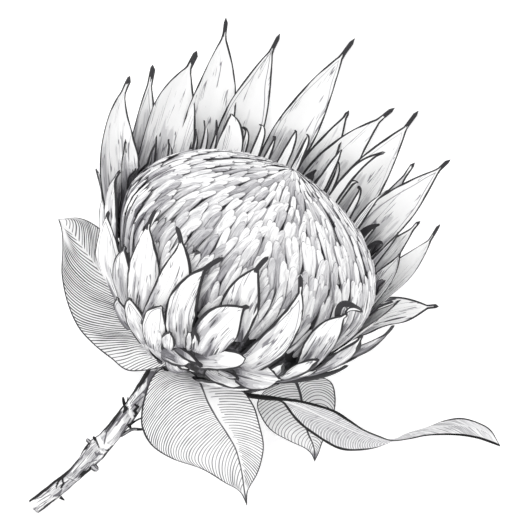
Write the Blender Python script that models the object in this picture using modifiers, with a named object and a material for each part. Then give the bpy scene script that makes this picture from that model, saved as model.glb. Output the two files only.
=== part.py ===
"""A cut protea that lies on its side: a wide flower head on a woody stem with four leaves.

The origin is on the surface that the flower lies on, under the middle of its box, and Z is up. The head
has a frame of its own. Its axis rises by HEAD_RISE and points HEAD_TURN to the right of +Y. A height is
measured along the axis from the base of the head. An azimuth of 0 is on the upper side of the head, 90 on
its right, 180 on its underside and -90 on its left. Points are worked out in millimetres.
"""
import math
import random

import bmesh
import bpy
from mathutils import Vector

MM = 0.001
SEED = 11

# Head: where it is and which way it points
HEAD_BASE = Vector((-36.7, -49.7, 48.2))
HEAD_TURN = 28.0
HEAD_RISE = 20.0

# Profiles of the head, as (radius, height) from the axis outward or from the apex down
CUP_OUTSIDE = [
    (0, -2), (12, -1.4), (21, 0.6), (31, 5), (41, 11.5), (50, 20), (58, 30), (63.5, 40), (66.5, 50), (67.5, 58),
]
CUP_WALL = 4.0
DOME = [
    (0, 118), (15, 112.5), (30, 107), (45, 100), (55, 93), (63, 84), (67.5, 75), (68.8, 69), (66.5, 63.5),
    (62, 58.5), (60, 54), (59, 50),
]
CORE_DEPTH = 7.0
TURN_STEPS = 24

# Space between parts that touch
GAP = 0.35

# Florets: fingers that lie on the core and point to the apex
FLORET_COUNT = 165
FLORET_WIDTH = 8.5
FLORET_LENGTH = (18.0, 30.0)
RIM_FLORETS = 36
GOLDEN_ANGLE = 137.508
APEX_CLEAR = 2.6
FIRST_PLACE, LAST_PLACE, RIM_PLACE = 0.007, 0.93, 0.975

# Rings of a floret: place along it, depths of its ridge and feet below the dome, half width as a share
FLORET_RINGS = [
    (0, CORE_DEPTH + 1.5, CORE_DEPTH + 3, 0.35), (0.45, 2.2, CORE_DEPTH + 1.5, 0.5), (0.86, 0.5, 3.8, 0.4),
]
FLORET_TIP_DEPTH = 1.6

# Bracts: blade thickness and its loss at the tip, how far roots sink into the cup, how much the blades curl
# inward and where that starts, and how far they keep from the florets and from the surface below
BRACT_THICK = 1.5
TIP_THINNING = 0.45
BRACT_SINK = 2.0
BRACT_COLUMNS = 2
BRACT_CURL = 0.32
CURL_START = 0.35
DOME_CLEAR = 2.4
FLOOR_CLEAR = 0.35

# Tall bracts at the back and sides: root azimuth, then azimuth, radius and height of the tip, width, and how
# many degrees the middle leans aside
TALL_BRACTS = [
    (-94, -104.4, 90, 60, 19, 2), (-95, -120, 108.5, 101, 20, 11), (-110, -127, 108.6, 108, 15, 0),
    (-120, -139, 107.5, 120, 26, 4), (-137, -145, 114.5, 138.6, 24, 0), (-157, -160, 111, 140.7, 24, 0),
    (-175, -178.2, 110, 155.3, 26, 2), (172, 173.6, 98.6, 124, 20, 0), (165, 163.2, 106.5, 135.3, 19, 4),
    (151, 158, 112.2, 139.2, 21, 0), (141, 149.2, 102.4, 119.6, 18, 0), (131, 141.8, 109.4, 130.7, 21, 0),
    (123, 132.1, 92.4, 102.5, 16, 0), (113, 130.2, 102.2, 104.7, 22, -2), (105, 112.4, 104.9, 74.8, 19, 3),
]
TALL_ROOT = 46.0

# Front bracts: root azimuth and height, then azimuth, radius and height of the tip, and width
FRONT_BRACTS = [
    (-70, 27, -75.4, 74, 58.6, 14), (-54, 28, -51, 73, 55, 12), (-38, 33, -48.8, 72, 80.7, 17),
    (-26, 37, -34.7, 72.5, 84, 18), (-12, 33, -10.8, 70.5, 83, 16), (8.6, 48, 8, 67, 93, 17),
    (3, 35, 10, 75, 70.7, 19), (20, 35, 27.4, 71, 93.5, 20), (52, 47, 55.6, 75, 86, 13),
    (63, 42, 63.7, 77, 68.6, 13), (47, 35, 47.5, 72, 54.6, 12), (84, 44, 90, 82, 70.8, 16),
    (101, 48, 110, 74, 95.5, 13), (-86, 38, -93, 76, 72, 14),
]

# Scales on the upper side of the cup: root azimuth and height, then azimuth, radius and height of the tip,
# and width
FRONT_SCALES = [
    (-84, 29, -86, 72, 50, 15), (-71, 20, -70, 67, 39, 14), (-54, 12, -50.8, 60, 26, 13),
    (-40, 6, -38, 54, 17, 14), (-34, 15, -39, 64, 34.7, 12), (-22, 18, -21.6, 67, 44, 14),
    (-14.5, 15, -15.2, 62, 32, 10), (-10, 8, -6, 57, 23, 13), (-2, 24, -7, 65.5, 42, 11),
    (4, 19, 17.4, 66, 41.6, 16), (12, 9, 22, 56, 20, 13), (18, 26, 37, 69, 47, 14),
    (27, 14, 46.6, 61.5, 29, 15), (38, 24, 52, 67, 40, 13), (48, 20, 62, 67, 41, 14),
    (60, 8, 66, 57, 26, 14), (66, 25, 77, 71.5, 46, 14), (78, 35, 80, 77, 61, 14),
    (88, 26, 89, 71.5, 50, 15), (-62, 5, -62, 50, 18, 14), (36, 4, 40, 48, 14, 13),
]

# Scales on the hidden side of the cup, by rows: azimuth step, root height, length, width, and how far tips
# stand out
SCALE_ROWS = [(30, 5, 21, 20, 4.5), (28, 17, 26, 21, 5.5), (25, 28, 32, 20, 6.5)]
HIDDEN_SIDE = (99, 264)

# Bracts above those scales: azimuth step, root height, length and width
UNDER_ROWS = [(22, 37, 44, 19), (24, 44, 60, 18)]

# Narrow spikes between the dome and the tall bracts: azimuth step, length and width
SPIKE_STEP = 14
SPIKE_LENGTH = 26
SPIKE_WIDTH = 5

# Stem: centre line from the cut end to the head, with the radius at each point
STEM_LINE = [
    (-115.5, -122.5, 3.4, 4.2), (-94.8, -106.2, 14.0, 4.2), (-83.0, -94.8, 20.2, 4.8),
    (-75.8, -86.6, 24.6, 5.2), (-69.5, -76.8, 28.9, 4.6), (-62.8, -66.2, 34.7, 4.4),
    (-56.6, -55.8, 40.9, 4.4), (-52.2, -50.0, 44.5, 4.6), (-48.9, -45.5, 46.2, 5.4),
]

# Nubs on the stem: place along it from 0 to 1, angle round it, length and radius
NUBS = [
    (0.30, 20, 2.4, 1.9), (0.40, 150, 3.0, 2.2), (0.62, 210, 2.6, 1.8), (0.58, 60, 2.0, 1.6),
    (0.17, 0, 2.0, 1.6),
]

# Leaves: blade thickness and columns, and the petiole with its first rise from the stem and its fade into
# the blade
LEAF_THICK = 1.1
LEAF_COLUMNS = 6
PETIOLE_RADIUS = 1.3
PETIOLE_RISE = 2.5
PETIOLE_FADE = 9.0

# Edge of the block that cuts the resting flats
GROUND_SIZE = 0.4

# Each leaf: the petiole's place along the stem and angle round it, the rest of the petiole's middle line, and
# the stations of the blade as (midrib, left margin, right margin) from its base to its tip
LEAVES = {
    "leaf_left": {
        "rows": 17,
        "start": (0.88, 118),
        "petiole": [(-58.2, -44.5, 42.9)],
        "blade": [
            ((-60.0, -41.5, 40.0), (-60.0, -53.0, 34.2), (-55.0, -39.5, 40.0)),
            ((-62.5, -35.5, 35.6), (-67.0, -53.0, 35.1), (-55.0, -32.5, 34.7)),
            ((-66.0, -28.5, 32.3), (-76.5, -47.3, 36.1), (-57.0, -24.0, 30.3)),
            ((-70.5, -20.5, 28.9), (-85.5, -40.0, 35.6), (-60.5, -15.0, 26.0)),
            ((-76.0, -12.0, 26.0), (-93.0, -31.5, 33.2), (-65.0, -5.0, 22.6)),
            ((-82.0, -4.0, 23.1), (-98.3, -19.5, 29.9), (-70.5, 4.0, 19.3)),
            ((-88.5, 5.0, 20.2), (-101.2, -5.5, 25.0), (-76.0, 11.5, 16.4)),
            ((-94.5, 13.0, 17.3), (-100.9, 7.5, 21.2), (-83.5, 19.0, 14.4)),
            ((-99.0, 18.5, 15.4), (-101.3, 16.0, 17.3), (-92.5, 23.2, 14.0)),
            ((-103.0, 22.5, 13.5), (-103.0, 22.5, 13.5), (-103.0, 22.5, 13.5)),
        ],
    },
    "leaf_front": {
        "rows": 19,
        "start": (0.95, 5),
        "petiole": [(-44.0, -53.5, 53.0)],
        "blade": [
            ((-41.0, -56.2, 54.9), (-44.0, -55.2, 53.0), (-39.2, -57.0, 54.9)),
            ((-37.0, -57.8, 56.8), (-49.5, -53.5, 51.0), (-31.7, -59.2, 57.3)),
            ((-32.8, -60.3, 58.7), (-54.5, -56.3, 49.6), (-23.2, -61.8, 58.3)),
            ((-30.2, -63.2, 59.7), (-58.5, -63.0, 48.1), (-10.0, -64.8, 56.8)),
            ((-27.5, -68.8, 59.2), (-61.0, -74.0, 46.7), (-4.5, -71.0, 53.4)),
            ((-23.5, -76.0, 54.9), (-60.5, -83.0, 43.8), (-2.0, -79.0, 46.7)),
            ((-18.0, -84.5, 46.7), (-55.5, -91.5, 39.5), (0.4, -90.0, 35.6)),
            ((-14.0, -91.5, 38.0), (-45.3, -98.0, 32.7), (-0.5, -98.5, 26.0)),
            ((-11.5, -100.0, 26.5), (-31.0, -103.0, 25.0), (-3.0, -106.0, 17.3)),
            ((-10.0, -108.5, 16.4), (-19.5, -110.0, 15.9), (-6.5, -112.0, 11.6)),
            ((-9.2, -115.0, 8.7), (-12.0, -114.5, 9.6), (-7.8, -115.5, 8.0)),
            ((-8.0, -122.0, 2.5), (-8.0, -122.0, 2.5), (-8.0, -122.0, 2.5)),
        ],
    },
    "leaf_small": {
        "rows": 18,
        "start": (0.85, -60),
        "petiole": [(-43.0, -63.0, 39.0), (-22.0, -66.0, 37.1), (-2.0, -62.5, 33.7), (7.0, -59.0, 31.8)],
        "blade": [
            ((12.0, -57.5, 31.3), (8.0, -60.2, 31.3), (15.5, -56.4, 30.8)),
            ((16.0, -58.5, 30.8), (0.5, -64.0, 30.8), (25.0, -55.8, 29.9)),
            ((18.5, -64.5, 28.9), (-3.0, -70.0, 28.4), (34.0, -59.0, 27.9)),
            ((19.8, -71.0, 27.0), (-1.2, -76.5, 26.5), (36.5, -67.0, 26.0)),
            ((20.8, -78.0, 24.1), (4.0, -83.7, 23.6), (35.5, -76.0, 22.6)),
            ((22.5, -84.5, 20.7), (13.0, -89.0, 19.7), (32.0, -84.5, 19.7)),
            ((25.0, -90.0, 16.9), (20.5, -92.5, 16.4), (29.5, -91.0, 16.4)),
            ((26.0, -94.5, 14.4), (24.0, -95.5, 14.0), (28.0, -95.5, 14.0)),
            ((26.0, -99.5, 11.6), (26.0, -99.5, 11.6), (26.0, -99.5, 11.6)),
        ],
    },
    "leaf_curled": {
        "rows": 24,
        "start": (0.91, -45),
        "petiole": [(-36.0, -60.5, 48.1), (-20.0, -63.5, 48.6), (-6.0, -66.0, 48.1), (2.0, -67.0, 47.7)],
        "blade": [
            ((9.0, -68.0, 46.7), (9.0, -66.8, 47.7), (9.0, -69.2, 45.7)),
            ((15.5, -70.0, 45.3), (16.5, -67.8, 47.7), (13.0, -74.0, 42.9)),
            ((23.0, -73.2, 43.8), (26.3, -70.0, 47.2), (18.0, -80.0, 38.0)),
            ((32.0, -77.5, 40.9), (36.5, -73.5, 45.7), (27.0, -86.8, 32.7)),
            ((40.5, -81.5, 36.6), (43.5, -78.0, 42.9), (38.0, -93.0, 27.4)),
            ((49.0, -85.0, 31.8), (50.5, -82.8, 39.0), (47.5, -93.9, 22.6)),
            ((57.0, -87.7, 27.0), (58.5, -86.3, 34.2), (57.0, -92.5, 17.8)),
            ((64.5, -88.9, 23.1), (65.0, -88.6, 29.9), (65.0, -89.2, 14.4)),
            ((72.5, -87.0, 19.3), (73.5, -88.0, 26.0), (72.0, -85.4, 12.0)),
            ((81.5, -84.5, 16.4), (81.5, -86.5, 22.1), (82.5, -82.2, 10.1)),
            ((91.0, -82.3, 14.0), (90.5, -86.1, 18.3), (91.5, -78.7, 9.6)),
            ((100.5, -82.0, 12.0), (99.5, -86.5, 15.4), (100.0, -77.5, 9.1)),
            ((109.5, -84.0, 10.1), (108.0, -88.0, 12.0), (108.5, -79.8, 8.2)),
            ((115.0, -87.5, 8.7), (114.5, -90.2, 9.1), (115.0, -83.8, 8.0)),
            ((119.5, -92.0, 7.5), (119.5, -92.0, 7.5), (119.5, -92.0, 7.5)),
        ],
    },
}

TURN, RISE = math.radians(HEAD_TURN), math.radians(HEAD_RISE)
AXIS = Vector((math.cos(RISE) * math.sin(TURN), math.cos(RISE) * math.cos(TURN), math.sin(RISE)))
RIGHT = Vector((math.cos(TURN), -math.sin(TURN), 0))
UPPER = RIGHT.cross(AXIS)


def mix(a, b, share):
    return a + (b - a) * share


def spline(points, count):
    """Count + 1 points, evenly spaced, on the smooth curve through the given points."""
    points = [Vector(p) for p in points]
    ends = [points[0] * 2 - points[1]] + points + [points[-1] * 2 - points[-2]]
    fine = []
    for a, b, c, d in zip(ends, ends[1:], ends[2:], ends[3:]):
        for step in range(16):
            t = step / 16
            fine.append(0.5 * (2 * b + (c - a) * t + (2 * a - 5 * b + 4 * c - d) * t * t
                               + (3 * b - a - 3 * c + d) * t ** 3))
    fine.append(points[-1])
    along = [0.0]
    for a, b in zip(fine, fine[1:]):
        along.append(along[-1] + (b - a).length)
    result, index = [], 0
    for step in range(count + 1):
        target = along[-1] * step / count
        while index < len(fine) - 2 and along[index + 1] < target:
            index += 1
        share = (target - along[index]) / max(along[index + 1] - along[index], 1e-9)
        result.append(mix(fine[index], fine[index + 1], min(share, 1.0)))
    return result


def smooth_list(points, place):
    """The point at a place from 0 to 1 along a list, on the smooth curve through its points."""
    last = len(points) - 1
    index = min(int(place * last), last - 1)
    t = place * last - index
    b, c = Vector(points[index]), Vector(points[index + 1])
    a = Vector(points[index - 1]) if index else b * 2 - c
    d = Vector(points[index + 2]) if index + 2 <= last else c * 2 - b
    return 0.5 * (2 * b + (c - a) * t + (2 * a - 5 * b + 4 * c - d) * t * t + (3 * b - a - 3 * c + d) * t ** 3)


def head_point(radius, azimuth, height):
    angle = math.radians(azimuth)
    return HEAD_BASE + height * AXIS + radius * (math.cos(angle) * UPPER + math.sin(angle) * RIGHT)


def profile_radius(profile, height):
    """The radius of a profile at a height."""
    for (r0, h0), (r1, h1) in zip(profile, profile[1:]):
        if min(h0, h1) <= height <= max(h0, h1):
            return mix(r0, r1, (height - h0) / (h1 - h0))
    return 0.0


def offset_profile(profile, distance):
    """The profile moved inward, square to itself."""
    moved = []
    for index, point in enumerate(profile):
        before = Vector(profile[max(index - 1, 0)])
        after = Vector(profile[min(index + 1, len(profile) - 1)])
        along = (after - before).normalized()
        x = point[0] - along.y * distance
        moved.append((max(x, 0.0) if index else 0.0, point[1] + along.x * distance))
    return moved


def new_object(name, mesh, collection):
    thing = bpy.data.objects.new(name, mesh)
    collection.objects.link(thing)
    return thing


def blade(name, surface, thickness, rows, columns, collection):
    """A closed blade round the surface (u from -1 to 1 across, v from 0 to 1 along), sharp at its margins."""
    bm = bmesh.new()
    rings = []
    small = 0.004
    for row in range(rows):
        v = row / rows
        front, back = [], []
        for column in range(columns + 1):
            u = -1 + 2 * column / columns
            point = surface(u, v)
            across = surface(min(u + small, 1), v) - surface(max(u - small, -1), v)
            along = surface(u, min(v + small, 1)) - surface(u, max(v - small, 0))
            half = across.cross(along).normalized() * thickness(u, v) / 2
            if column in (0, columns):
                front.append(bm.verts.new(point * MM))
            else:
                front.append(bm.verts.new((point + half) * MM))
                back.append(bm.verts.new((point - half) * MM))
        rings.append(front + back[::-1])
    tip = bm.verts.new(surface(0, 1) * MM)
    for a, b in zip(rings, rings[1:]):
        for index in range(len(a)):
            after = (index + 1) % len(a)
            bm.faces.new((a[index], a[after], b[after], b[index]))
    for index in range(len(rings[-1])):
        bm.faces.new((rings[-1][index], rings[-1][(index + 1) % len(rings[-1])], tip))
    bm.faces.new(rings[0][::-1])
    bmesh.ops.recalc_face_normals(bm, faces=bm.faces)
    bmesh.ops.triangulate(bm, faces=bm.faces)
    mesh = bpy.data.meshes.new(name)
    bm.to_mesh(mesh)
    bm.free()
    return new_object(name, mesh, collection)


def blade_width(v):
    """The share of a bract's width at v: rounded below the middle, drawn out to a point."""
    widest, at_root = 0.44, 0.66
    if v < widest:
        return mix(at_root, 1.0, math.sin(math.pi / 2 * v / widest))
    return math.cos(math.pi / 2 * (v - widest) / (1 - widest)) ** 0.9


def bract_surface(root, control, tip, width, lean=0.0):
    """The middle surface of a bract from (azimuth, radius, height) of its root and of its tip.

    The control point of its curve has only a radius and a height.
    """
    def surface(u, v):
        azimuth = mix(root[0], tip[0], v ** 1.3) + lean * math.sin(math.pi * v)
        radius = (1 - v) ** 2 * root[1] + 2 * v * (1 - v) * control[0] + v * v * tip[1]
        height = (1 - v) ** 2 * root[2] + 2 * v * (1 - v) * control[1] + v * v * tip[2]
        half = width / 2 * blade_width(v)
        turn = math.degrees(u * half / radius)
        radius -= BRACT_CURL * half * u * u * min(v / CURL_START, 1)
        if height > DOME[-1][1]:
            radius = max(radius, profile_radius(DOME, height) + DOME_CLEAR)
        point = head_point(radius, azimuth + turn, height)
        point.z = max(point.z, FLOOR_CLEAR + 0.1 * v)
        return point
    return surface


def bract_thickness(u, v):
    return BRACT_THICK * (1 - TIP_THINNING * v)


def add_bract(root, control, tip, width, rows, collection, lean=0.0):
    surface = bract_surface(root, control, tip, width, lean)
    return blade("bract", surface, bract_thickness, rows, BRACT_COLUMNS, collection)


def cup_root(height):
    return profile_radius(CUP_OUTSIDE, height) - BRACT_SINK


def add_tall_bracts(collection):
    for azimuth, tip_azimuth, tip_radius, tip_height, width, lean in TALL_BRACTS:
        root = (azimuth, cup_root(TALL_ROOT), TALL_ROOT)
        control = (mix(root[1], tip_radius, 0.22) + 3, mix(TALL_ROOT, tip_height, 0.45))
        add_bract(root, control, (tip_azimuth, tip_radius, tip_height), width, 7, collection, lean)


def add_front_bracts(collection):
    for azimuth, height, tip_azimuth, tip_radius, tip_height, width in FRONT_BRACTS:
        root = (azimuth, cup_root(height), height)
        control = (max(root[1], tip_radius) + 3, mix(height, tip_height, 0.45))
        add_bract(root, control, (tip_azimuth, tip_radius, tip_height), width, 6, collection)


def add_scale(azimuth, height, tip, width, collection):
    root = (azimuth, cup_root(height), height)
    control = (mix(root[1], tip[1], 0.55) + 2.0, mix(height, tip[2], 0.4))
    add_bract(root, control, tip, width, 4, collection)


def add_scales(collection):
    for azimuth, height, tip_azimuth, tip_radius, tip_height, width in FRONT_SCALES:
        add_scale(azimuth, height, (tip_azimuth, tip_radius, tip_height), width, collection)
    chance = random.Random(SEED)
    for row, (step, height, length, width, stand) in enumerate(SCALE_ROWS):
        azimuth = HIDDEN_SIDE[0] + row * step / len(SCALE_ROWS)
        while azimuth < HIDDEN_SIDE[1]:
            tip_height = height + length * chance.uniform(0.9, 1.1) * mix(0.6, 0.9, height / 30)
            tip_radius = profile_radius(CUP_OUTSIDE, min(tip_height, CUP_OUTSIDE[-1][1])) + stand
            tip = (azimuth + chance.uniform(-3, 3), tip_radius, tip_height)
            add_scale(azimuth, height, tip, width, collection)
            azimuth += step


def add_under_bracts(collection):
    """Bracts between the scales and the tall bracts, round the hidden side."""
    chance = random.Random(SEED + 1)
    for row, (step, height, length, width) in enumerate(UNDER_ROWS):
        azimuth = HIDDEN_SIDE[0] + 4 + row * step / 2
        while azimuth < HIDDEN_SIDE[1]:
            root = (azimuth, cup_root(height), height)
            tip_height = height + length * chance.uniform(0.85, 1.0)
            tip_radius = 76 + (tip_height - 70) * 0.35 + chance.uniform(0, 4)
            control = (mix(root[1], tip_radius, 0.5) + 3, mix(height, tip_height, 0.45))
            tip = (azimuth + chance.uniform(-4, 4), tip_radius, tip_height)
            add_bract(root, control, tip, width, 5, collection)
            azimuth += step


def add_spikes(collection):
    """Narrow spikes round the rim of the dome, in front of the tall bracts."""
    chance = random.Random(SEED + 2)
    height = CUP_OUTSIDE[-1][1] - 5
    azimuth = HIDDEN_SIDE[0] - 5
    while azimuth < HIDDEN_SIDE[1] + 8:
        root = (azimuth, cup_root(height), height)
        tip_height = height + SPIKE_LENGTH * chance.uniform(0.8, 1.25)
        tip = (azimuth + chance.uniform(-4, 4), 75 + chance.uniform(0, 5), tip_height)
        add_bract(root, (71.5, height + 10), tip, SPIKE_WIDTH, 3, collection)
        azimuth += SPIKE_STEP


def turned(name, profile, collection):
    """A profile of (radius, height) turned round the head's axis."""
    mesh = bpy.data.meshes.new(name)
    points = [(radius * MM, 0, height * MM) for radius, height in profile]
    mesh.from_pydata(points, [(i, i + 1) for i in range(len(points) - 1)], [])
    thing = new_object(name, mesh, collection)
    turn = thing.modifiers.new("Turn", "SCREW")
    turn.axis = "Z"
    turn.steps = TURN_STEPS
    turn.render_steps = TURN_STEPS
    turn.use_merge_vertices = True
    turn.merge_threshold = 0.00001
    turn.use_normal_calculate = True
    thing.rotation_mode = "QUATERNION"
    thing.rotation_quaternion = Vector((0, 0, 1)).rotation_difference(AXIS)
    thing.location = HEAD_BASE * MM
    return thing


def frozen(thing, name, collection, weld=True):
    """The object as its modifiers leave it, in world space, as a plain mesh in the given collection."""
    bpy.context.view_layer.update()
    seen = thing.evaluated_get(bpy.context.evaluated_depsgraph_get())
    mesh = bpy.data.meshes.new_from_object(seen)
    mesh.transform(thing.matrix_world)
    bpy.data.objects.remove(thing)
    if weld:
        bm = bmesh.new()
        bm.from_mesh(mesh)
        bmesh.ops.remove_doubles(bm, verts=bm.verts, dist=0.000001)
        bmesh.ops.recalc_face_normals(bm, faces=bm.faces)
        bm.to_mesh(mesh)
        bm.free()
    mesh.name = name
    return new_object(name, mesh, collection)


def keep_outer_body(thing):
    """Drops loose scraps and the skins of sealed hollows, so that one body is left."""
    bm = bmesh.new()
    bm.from_mesh(thing.data)
    left = set(bm.verts)
    groups = []
    while left:
        seed = left.pop()
        group, border = {seed}, [seed]
        while border:
            for edge in border.pop().link_edges:
                for vert in edge.verts:
                    if vert not in group:
                        group.add(vert)
                        border.append(vert)
        left -= group
        groups.append(group)
    biggest = max(groups, key=len)
    loose = [vert for group in groups if group is not biggest for vert in group]
    bmesh.ops.delete(bm, geom=loose, context="VERTS")
    bm.to_mesh(thing.data)
    bm.free()


def joined(base, pieces, name, collection):
    """One union of the base with all the pieces, which are then removed."""
    union = base.modifiers.new("Join", "BOOLEAN")
    union.operand_type = "COLLECTION"
    union.collection = pieces
    union.operation = "UNION"
    union.solver = "EXACT"
    result = frozen(base, name, collection, weld=False)
    for piece in list(pieces.objects):
        bpy.data.objects.remove(piece)
    bpy.data.collections.remove(pieces)
    keep_outer_body(result)
    return result


def working_collection(name):
    pieces = bpy.data.collections.new(name)
    bpy.context.scene.collection.children.link(pieces)
    return pieces


def make_bracts(parts, cutters):
    pieces = working_collection("bract_pieces")
    add_tall_bracts(pieces)
    add_front_bracts(pieces)
    add_scales(pieces)
    add_under_bracts(pieces)
    add_spikes(pieces)
    inside = offset_profile(CUP_OUTSIDE, CUP_WALL)
    cup = frozen(turned("cup", CUP_OUTSIDE + inside[::-1], parts), "cup", parts)
    bracts = joined(cup, pieces, "bracts", parts)
    bpy.ops.mesh.primitive_cube_add(size=GROUND_SIZE, location=(0, 0, -GROUND_SIZE / 2))
    ground = bpy.context.active_object
    ground.name = "ground_cutter"
    for collection in list(ground.users_collection):
        collection.objects.unlink(ground)
    cutters.objects.link(ground)
    ground.hide_render = True
    ground.display_type = "WIRE"
    flat = bracts.modifiers.new("Rest", "BOOLEAN")
    flat.operation = "DIFFERENCE"
    flat.object = ground
    flat.solver = "MANIFOLD"
    return bracts


def floret_rings(line, area, place, azimuth, length, width):
    """The corners of one floret, a three-sided finger from its root to its tip."""
    total = area[-1]
    index = next(i for i, value in enumerate(area) if value >= place * total)
    step = (line[1] - line[0]).length
    nearest = round(APEX_CLEAR / step)
    length = min(length, (index - nearest - 1) * step)
    rings = []
    for share, ridge, foot, half in FLORET_RINGS:
        at = min(round(index - share * length / step), len(line) - 2)
        point = line[at]
        along = (line[at - 1] - line[at + 1]).normalized()
        outward = Vector((-along.y, along.x)) if along.x < 0 else Vector((along.y, -along.x))
        if outward.dot(Vector((point.x, point.y - 60))) < 0:
            outward = -outward
        reach = min(half * width, 0.55 * point.x + 0.3)
        corners = []
        for side, depth in ((-1, foot), (1, foot), (0, ridge)):
            spot = point - outward * depth
            angle = math.radians(azimuth)
            sideways = math.cos(angle) * RIGHT - math.sin(angle) * UPPER
            corners.append(head_point(spot.x, azimuth, spot.y) + sideways * side * reach)
        rings.append(corners)
    at = round(index - length / step)
    tip = head_point(line[at].x, azimuth, line[at].y - FLORET_TIP_DEPTH)
    return rings, tip


def add_florets(collection):
    line = spline(DOME, 240)
    area = [0.0]
    for a, b in zip(line, line[1:]):
        area.append(area[-1] + (a.x + b.x) / 2 * (b - a).length)
    chance = random.Random(SEED + 3)
    total = FLORET_COUNT + RIM_FLORETS
    for number in range(total):
        place = mix(FIRST_PLACE, LAST_PLACE, min(number / FLORET_COUNT, 1.0))
        azimuth = number * GOLDEN_ANGLE + chance.uniform(-2, 2)
        length = mix(FLORET_LENGTH[0], FLORET_LENGTH[1], max(place - 0.7, 0) * 4)
        if number >= FLORET_COUNT:
            place = RIM_PLACE + chance.uniform(-0.01, 0.01)
            length = FLORET_LENGTH[1]
            azimuth = (number - FLORET_COUNT) * 360 / RIM_FLORETS + chance.uniform(-2, 2)
        length *= chance.uniform(0.9, 1.1)
        rings, tip = floret_rings(line, area, place, azimuth, length, FLORET_WIDTH)
        bm = bmesh.new()
        loops = [[bm.verts.new(corner * MM) for corner in ring] for ring in rings]
        end = bm.verts.new(tip * MM)
        for a, b in zip(loops, loops[1:]):
            for index in range(3):
                bm.faces.new((a[index], a[(index + 1) % 3], b[(index + 1) % 3], b[index]))
        for index in range(3):
            bm.faces.new((loops[-1][index], loops[-1][(index + 1) % 3], end))
        bm.faces.new(loops[0])
        bmesh.ops.recalc_face_normals(bm, faces=bm.faces)
        bmesh.ops.triangulate(bm, faces=bm.faces)
        mesh = bpy.data.meshes.new("floret")
        bm.to_mesh(mesh)
        bm.free()
        new_object("floret", mesh, collection)


def make_florets(parts):
    pieces = working_collection("floret_pieces")
    add_florets(pieces)
    top = offset_profile(DOME[:8], -CORE_DEPTH)
    seat = offset_profile(CUP_OUTSIDE, CUP_WALL + GAP)[::-1]
    profile = top + seat[1:]
    core = frozen(turned("core", profile, parts), "core", parts)
    return joined(core, pieces, "florets", parts)


def stem_frame(place):
    """The stem's centre, direction and radius at a place from 0, the cut end, to 1, the head."""
    here = smooth_list(STEM_LINE, place)
    ahead = smooth_list(STEM_LINE, min(place + 0.01, 1)) - smooth_list(STEM_LINE, max(place - 0.01, 0))
    return here.xyz, ahead.xyz.normalized(), here.w


def beside_stem(place, angle, distance):
    """A point off the stem's surface; the angle is 0 on its upper side and 90 on its left."""
    centre, ahead, radius = stem_frame(place)
    up = (Vector((0, 0, 1)) - ahead * ahead.z).normalized()
    left = up.cross(ahead)
    outward = up * math.cos(math.radians(angle)) + left * math.sin(math.radians(angle))
    return centre + outward * (radius + distance), outward


def make_stem(parts):
    curve = bpy.data.curves.new("stem", "CURVE")
    curve.dimensions = "3D"
    curve.bevel_depth = MM
    curve.bevel_resolution = 1
    curve.use_fill_caps = True
    line = curve.splines.new("POLY")
    count = 26
    line.points.add(count)
    for index in range(count + 1):
        centre, _, radius = stem_frame(index / count)
        line.points[index].co = (*(centre * MM), 1)
        line.points[index].radius = radius
    stem = frozen(new_object("stem_curve", curve, parts), "stem_tube", parts)
    pieces = working_collection("stem_pieces")
    for place, angle, length, radius in NUBS:
        foot, outward = beside_stem(place, angle, -1.5)
        bm = bmesh.new()
        bmesh.ops.create_cone(bm, cap_ends=True, segments=7, radius1=radius * MM, radius2=radius * 0.5 * MM,
                              depth=(length + 1.5) * MM)
        mesh = bpy.data.meshes.new("nub")
        bm.to_mesh(mesh)
        bm.free()
        nub = new_object("nub", mesh, pieces)
        nub.rotation_mode = "QUATERNION"
        nub.rotation_quaternion = Vector((0, 0, 1)).rotation_difference(outward)
        nub.location = (foot + outward * (length + 1.5) / 2) * MM
    return joined(stem, pieces, "stem", parts)


def leaf_surface(leaf):
    start, outward = beside_stem(leaf["start"][0], leaf["start"][1], GAP)
    middle = [start, start + outward * PETIOLE_RISE] + [Vector(p) for p in leaf["petiole"]]
    stations = []
    for index, point in enumerate(middle):
        after = middle[index + 1] if index + 1 < len(middle) else Vector(leaf["blade"][0][0])
        along = (after - point).normalized()
        side = along.cross(Vector((0, 0, 1))).normalized() * PETIOLE_RADIUS
        stations.append((point, point - side, point + side))
    petiole_share = len(stations) - 1
    stations += leaf["blade"]
    middles, lefts, rights = ([station[k] for station in stations] for k in range(3))
    petiole_share /= len(stations) - 1

    def surface(u, v):
        middle = smooth_list(middles, v)
        margin = smooth_list(lefts if u < 0 else rights, v)
        return mix(middle, margin, abs(u))

    def thickness(u, v):
        body = 1 - u * u
        if v < petiole_share:
            return 2 * PETIOLE_RADIUS * math.sqrt(body)
        fade = max(0.0, 1 - (v - petiole_share) * PETIOLE_FADE)
        return mix(LEAF_THICK, 2 * PETIOLE_RADIUS, fade * (1 - abs(u))) * mix(0.75, 1, body)
    return surface, thickness


def make_leaf(name, leaf, parts):
    surface, thickness = leaf_surface(leaf)
    return blade(name, surface, thickness, leaf["rows"], LEAF_COLUMNS, parts)


def material(name, colour, roughness):
    finish = bpy.data.materials.new(name)
    finish.use_nodes = True
    shader = finish.node_tree.nodes["Principled BSDF"]
    shader.inputs["Base Color"].default_value = (*colour, 1)
    shader.inputs["Roughness"].default_value = roughness
    shader.inputs["Metallic"].default_value = 0.0
    return finish


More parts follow.
